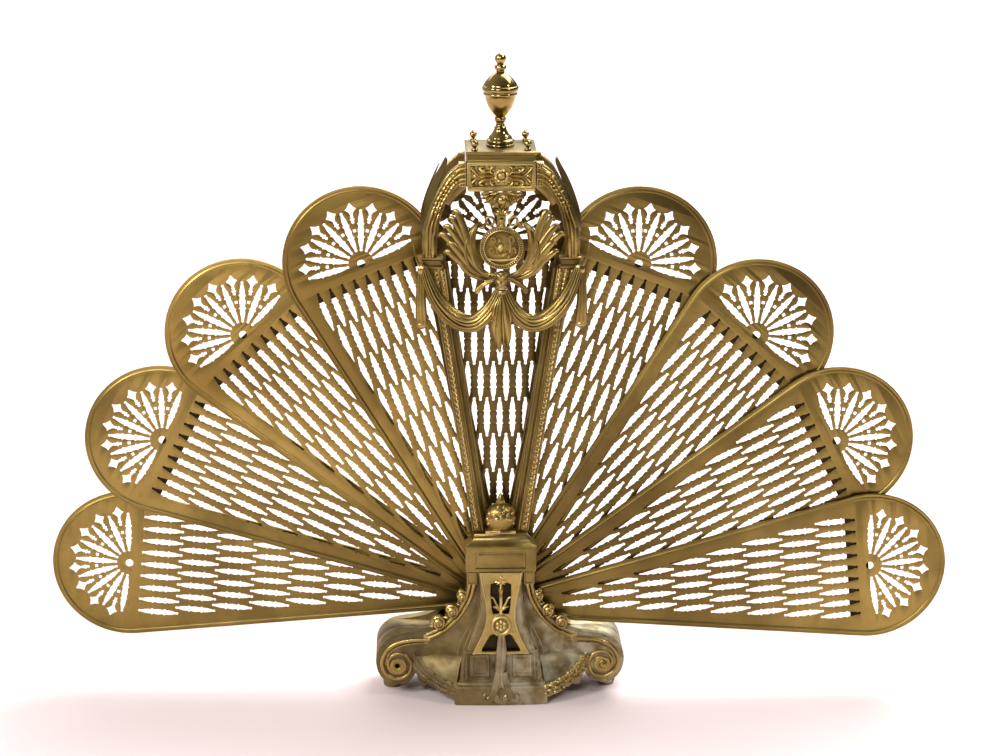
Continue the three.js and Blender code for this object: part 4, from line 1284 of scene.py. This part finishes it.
def flank_veins():
    """Right half: shallow ribs that run down the hollow of the flank."""
    parts = []
    for share in (0.30, 0.42, 0.54):
        path = [skirt_point(share + 0.10 * (z - 30) / 100,
                            z) + Vector((-0.2, 0.35, 0)) for z in (44, 58, 72, 88, 104, 122)]
        parts.append(sweep(spline(path, 5), circle(1.0, 8), out=(0.5, -0.85, 0),
                           size=lambda t: 1.2 - 0.8 * t))
    border = [skirt_point(0.16 + 0.80 * k / 9, 40 + 2 * k / 9) for k in range(10)]
    parts.append(sweep(spline(border, 3), circle(0.9, 8), out=(0.4, -0.9, 0)))
    return parts


HEM = [(49, -57.6, 9), (62, -51.5, 12.5), (76, -43.5, 19), (87, -36.4, 27), (93.5, -31.8, 36)]
HEM_INWARD = Vector((-0.51, 0.86, 0))
BAND_TOP = 14
LANE_PITCH = 4.7


def hem_parts():
    """The band along the lower edge of the right flank, edged with two beads, and the roll above it."""
    band = [(3.0, 0), (0, 0), (0, 12.4), (0.6, 13.5), (2.6, 14.0)]
    cove = [(3.2, 15.4), (4.6, 20), (7.0, 27), (10.5, 35), (15, 42), (19, 44), (19, 3)]
    path = spline(HEM, 6)
    rings = []
    for k, p in enumerate(path):
        shrink = 1 - 0.78 * k / (len(path) - 1)
        section = band + [(inward, BAND_TOP + (up - BAND_TOP) * shrink if up > BAND_TOP else up) for inward,
                          up in cove]
        rings.append([p + HEM_INWARD * inward + Vector((0, 0, up)) for inward, up in section])
    parts = [skin(rings)]
    for up in (0.9, 12.6):
        parts.append(sweep([p + Vector((0, 0, up)) for p in path], circle(0.9, 8), out=(0.5, -0.86, 0)))
    return parts


def hem_garland(rise):
    """Overlapping leaves and fruit in three lanes along the band; rise is how far they stand out."""
    path = spline([(x, y, z + 6.6) for x, y, z in HEM], 8)
    last = len(path) - 1
    out = Vector((0.5, -0.85, 0.1)).normalized()
    parts = []
    rows = 17
    for k in range(rows):
        spot = int((0.04 + 0.93 * k / (rows - 1)) * last)
        ahead = path[min(spot + 1, last)] - path[max(spot - 1, 0)]
        across = ahead.normalized().cross(out)
        angle = math.atan2(ahead.x, ahead.z)
        for lane in (-1, 0, 1):
            place = path[spot] + across * lane * LANE_PITCH + ahead.normalized() * random.uniform(-0.8, 0.8)
            if (k + lane) % 3:
                parts.append(pod(place, 9.4, 6.0, rise, angle + lane * 0.55 + random.uniform(-0.3, 0.3),
                                 out))
            else:
                parts.append(pod(place, 5.0, 5.0, rise * 1.3, angle, out, rings=6))
    return parts


def leaned(parts):
    """Parts built upright about y = 0, laid on the sloping front of the pedestal."""
    return [([(x, y - PANEL_TOP_FACE + (z - PEDESTAL_TOP) * PEDESTAL_LEAN, z) for x, y, z in verts],
             faces) for verts, faces in parts]


def tracery_parts():
    """The openwork panel: two waisted bars, a stem with leaves, and a flower boss."""
    side = [(p.x, p.z) for p in spline([(22.5, 0, 146), (19.6, 0, 129), (16.8, 0, 115), (15.4, 0, 103),
                                        (16.4, 0, 91),
                                        (20.6, 0, 78), (26, 0, 67), (30.5, 0, 57.5)], 4)]
    outline = side + [(-x, z) for x, z in reversed(side)]
    upper = [(1.7, 134.6), (6.4, 135.2), (10.8, 134), (11.2, 124), (10.4, 114), (9.6, 106), (8.2, 101.2),
             (4.0, 101.4), (1.7, 102.4)]
    lower = [(3.4, 76.6), (8.2, 79.4), (12.4, 77.4), (16.0, 71.0), (20.6, 62.6), (20.2, 60.2), (3.4, 60.2)]
    holes = [upper, lower] + [[(-x, z) for x, z in hole] for hole in (upper, lower)]
    parts = [plate(outline, holes, -3.0, 0, 0.5)]
    half = [sweep(spline([(x - 0.8, -2.8, z) for x, z in side], 1), circle(1.0, 8))]
    half.append(sweep(spline([(0, -2.2, 106), (4.4, -2.6, 111.5), (7.6, -2.4, 118), (10.4, -2.2, 119.4)],
                             6), circle(1.15, 8)))
    half.append(frond([(0, -2.0, 104), (4.2, -2.6, 108), (8.8, -2.4, 109)], 4.2, 1.6))
    parts += both(half)
    parts.append(sweep([(0, -2.4, 101), (0, -2.8, 134)], circle(1.3, 10)))
    parts.append(frond([(0, -2.6, 132), (0, -4.2, 126), (0, -2.6, 117)], 5.0, 2.2))
    parts.append(pod((0, -3, 141.4), 4.4, 4.0, 2.4))
    for angle in (-1.25, -0.6, 0.6, 1.25):
        parts.append(pod((4.6 * math.sin(angle), -3, 137.5 - 2.4 * math.cos(angle)), 6.6, 2.8, 2.0,
                         math.pi - angle))
    at = (0, -2.6, 89.4)
    boss = [(0, 0), (11.0, 0), (11.2, 1.6), (10.4, 3.2), (9.0, 3.8), (7.8, 3.2), (7.2, 2.0), (4, 2.2),
            (0, 2.4)]
    parts.append(lathe(boss, 44, at, FRONT))
    for k in range(6):
        a = 2 * math.pi * k / 6
        parts.append(pod((4.0 * math.sin(a), -4.8, 89.4 + 4.0 * math.cos(a)), 5.6, 4.2, 2.2, a))
    parts.append(pod((0, -5.4, 89.4), 3.4, 3.4, 2.6))
    return leaned(parts)


def foot_scroll_parts():
    """A stem that runs down from the boss and ends in two curls on the plinth."""
    stem = spline([(0.6, -53.2, 80), (0.6, -55.0, 68), (0.2, -57.0, 55), (-1.2, -58.8, 42),
                   (-1.4, -60.0, 32), (0, -60.6, 22)], 6)
    parts = [sweep(stem, circle(5.4, 12, 0.55),
                   size=lambda t: 0.62 + 0.45 * math.sin(math.pi * min(t * 1.2, 1)))]
    parts.append(sweep([p + Vector((1.8, -2.4, 0)) for p in stem], circle(1.2, 8),
                       size=lambda t: 0.7 + 0.5 * t))
    for side in (-1, 1):
        curl = [(1.8 * side, -59.4, 38), (4.6 * side, -60.6, 27), (7.4 * side, -61.2, 17),
                (11.0 * side, -61.2, 9.5),
                (15.5 * side, -61.2, 7.5), (17.6 * side, -61.0, 10.5), (16.0 * side, -61.0, 13.0)]
        parts.append(sweep(spline(curl, 5), circle(4.0, 10, 0.5), size=lambda t: 1.15 - 0.6 * t))
        parts.append(pod((4.5 * side, -60.2, 7.5), 12, 7.5, 2.2, 0.3 * side))
    return parts


def add_base():
    hollow = pedestal_solid(WALL, 1)
    window = [(-11.5, 136), (11.5, 136), (10, 104), (9, 98), (9, 80), (21, 60.5), (-21, 60.5), (-9, 80),
              (-9, 98), (-10, 104)]
    under = [(50, -5), (112, -5), (112, 46), (94, 37), (87, 28), (76, 20), (62, 13.5), (50, 10)]
    undersides = [plate(under, [], CUTTER_FRONT, -STACK_FACE + 0.3, CUTTER_EDGE)]
    undersides += mirrored(undersides)
    opening = plate(window, [], CUTTER_FRONT, -36, CUTTER_EDGE)
    flank = carved([pedestal_solid(0, -STACK_FACE)], [hollow, opening, *undersides])
    plinth = carved([skin([plinth_ring(z, by) for z, by in PLINTH_LEVELS])],
                    [block(-44, 44, -52, 1, -5, 22, CUTTER_EDGE)])
    bolt_plate = block(-44, 44, -STACK_FACE - 4, -STACK_FACE, 82, 112, 0.3)
    body = both(console_parts() + hem_parts() + plinth_details())
    body += [flank, plinth, bolt_plate] + mirrored(hem_garland(0.6))
    make_piece("base_front", body, DULL, nodes=["base_front"], angle=32)
    rear_flank = carved([pedestal_solid(0, -STACK_FACE)], [hollow, *undersides])
    rear = mirrored(both(console_parts() + hem_parts()) + [rear_flank, plinth, bolt_plate], 1)
    make_piece("base_rear", rear, DULL, nodes=["base_rear"], angle=32)


def add_base_trim():
    blocks = [block(24.6, 36.2, -38.6, -29, 130.4, 146.6, 0.9),
              sweep([(26.4, -38.7, 132.2), (34.4, -38.7, 132.2), (34.4, -38.7, 144.8),
                     (26.4, -38.7, 144.8)],
                    circle(0.8, 8), loop=True)]
    make_piece("corner_blocks", both(blocks), FLAT)
    make_piece("console_trim", both(console_mouldings() + bud_parts()), CAST)
    make_piece("pedestal_trim", both(flank_veins()) + foot_scroll_parts(), WORN_AND_HIGHLIT)
    make_piece("flank_garland", hem_garland(3.0), CAST)
    make_piece("tracery_panel", tracery_parts(), RUBBED_AND_HIGHLIT, nodes=["tracery_panel"])


def add_pads_and_screw():
    pad = [(0, 0), (8.6, 0), (9.6, 0.5), (10.3, 2.2), (10.4, 5.0), (10.0, 7.4), (8.8, 9.2), (8.2, 11),
           (8.0, 12.5), (0, 12.6)]
    for name, x in (("foot_pad_left", -FOOT_PAD_X), ("foot_pad_right", FOOT_PAD_X)):
        make_piece(name, [lathe(pad, 36, (x, 0, 0))], DULL, nodes=[name])
    screw = [(0, 0), (5.4, 0), (5.8, 0.8), (5.4, 2.0), (3.8, 2.6), (3.4, 3.2), (2.9, 4.4), (1.4, 5.2),
             (0, 5.3)]
    make_piece("volute_screw", [lathe(screw, 30, (VOLUTE[0], -CONSOLE_FACE - 1.0, VOLUTE[1]), FRONT),
                                lathe([(0, 0), (2.1, 0), (2.1, 56), (0, 56)], 16,
                                      (VOLUTE[0], 27, VOLUTE[1]), FRONT)],
               CAST, nodes=["volute_screw_right"])


def dress_carried_nodes():
    """The washers, spacers, bolt and nut keep their CAD shape and get softened edges and worn steel."""
    for name in [*(f"spacer_{k}" for k in range(1, 9)), "washer_front", "washer_rear", "pivot_bolt",
                 "pivot_nut"]:
        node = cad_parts[name]
        node.data.materials.clear()
        node.data.materials.append(STEEL)
        soften = node.modifiers.new("soften", "BEVEL")
        soften.width = 0.25 * MM
        soften.segments = 2
        soften.limit_method = "ANGLE"


# ---------- the room ----------
def add_floor():
    mesh = make_mesh("floor", [skin([[(-9000, -9000, -4), (9000, -9000, -4), (9000, 14000, -4),
                                      (-9000, 14000, -4)],
                                     [(-9000, -9000, 0), (9000, -9000, 0), (9000, 14000, 0),
                                      (-9000, 14000, 0)]])])
    floor = bpy.data.objects.new("floor", mesh)
    link(floor)
    paper = bpy.data.materials.new("paper")
    paper.use_nodes = True
    shader = paper.node_tree.nodes["Principled BSDF"]
    shader.inputs["Base Color"].default_value = (0.775, 0.665, 0.66, 1)
    shader.inputs["Roughness"].default_value = 0.9
    shader.inputs["Specular IOR Level"].default_value = 0.1
    mesh.materials.append(paper)


def add_area(name, place, target, size, power, colour=(1, 1, 1)):
    light = bpy.data.lights.new(name, "AREA")
    light.shape = "RECTANGLE"
    light.size, light.size_y = size
    light.energy = power
    light.color = colour
    holder = bpy.data.objects.new(name, light)
    holder.location = place
    holder.rotation_euler = (Vector(target) - Vector(place)).to_track_quat("-Z", "Y").to_euler()
    link(holder)


def add_lights():
    """A pale room, lighter on the left and dim towards the viewer, and five soft boxes."""
    world = bpy.data.worlds.new("room")
    bpy.context.scene.world = world
    world.use_nodes = True
    nodes, links = world.node_tree.nodes, world.node_tree.links
    where = nodes.new("ShaderNodeTexCoord").outputs["Generated"]
    apart = nodes.new("ShaderNodeSeparateXYZ")
    links.new(where, apart.inputs[0])
    product = nodes.new("ShaderNodeMath")
    product.operation = "MULTIPLY"
    for index, (axis, numbers) in enumerate((("X", ROOM_ACROSS), ("Y", ROOM_DEEP))):
        ramp = nodes.new("ShaderNodeMapRange")
        for socket, number in zip(("From Min", "From Max", "To Min", "To Max"), numbers):
            ramp.inputs[socket].default_value = number
        links.new(apart.outputs[axis], ramp.inputs["Value"])
        links.new(ramp.outputs["Result"], product.inputs[index])
    back = nodes["Background"]
    back.inputs["Color"].default_value = (1.0, 0.97, 0.965, 1)
    links.new(product.outputs[0], back.inputs["Strength"])
    add_area("key", (-1.9, -1.3, 1.7), (0, 0, 0.3), (0.5, 0.7), 34, (1, 0.985, 0.96))
    add_area("low", (-0.6, -1.8, 1.5), (-0.25, -1.3, 0), (0.7, 0.7), 17, (1, 0.985, 0.96))
    add_area("fill", (1.7, -0.8, 2.1), (0, 0, 0.35), (0.3, 0.5), 12)
    add_area("top", (1.1, 1.2, 2.6), (1.1, 1.2, 0), (2.0, 2.0), 125)
    add_area("far", (0.3, 5.2, 3.2), (0.3, 5.2, 0), (7.0, 5.0), 310)
    bpy.context.scene.view_settings.view_transform = "Standard"


def add_camera():
    camera = bpy.data.objects.new("camera", bpy.data.cameras.new("camera"))
    camera.data.sensor_width = 36
    camera.data.lens = 80.4
    camera.data.clip_end = 60
    camera.location = (-0.083, -2.26, 1.009)
    pitch, yaw, roll = math.radians(16.28), math.radians(2.11), math.radians(0.13)
    ahead = Vector((math.sin(yaw) * math.cos(pitch), math.cos(yaw) * math.cos(pitch), -math.sin(pitch)))
    turn = ahead.to_track_quat("-Z", "Y").to_matrix() @ Matrix.Rotation(roll, 3, "Z")
    camera.rotation_euler = turn.to_euler()
    link(camera)
    bpy.context.scene.camera = camera


add_camera()
add_fan()
add_struts()
add_arches()
add_head()
add_cartouche()
add_garland()
add_collar()
add_base()
add_base_trim()
add_pads_and_screw()
dress_carried_nodes()
add_floor()
add_lights()
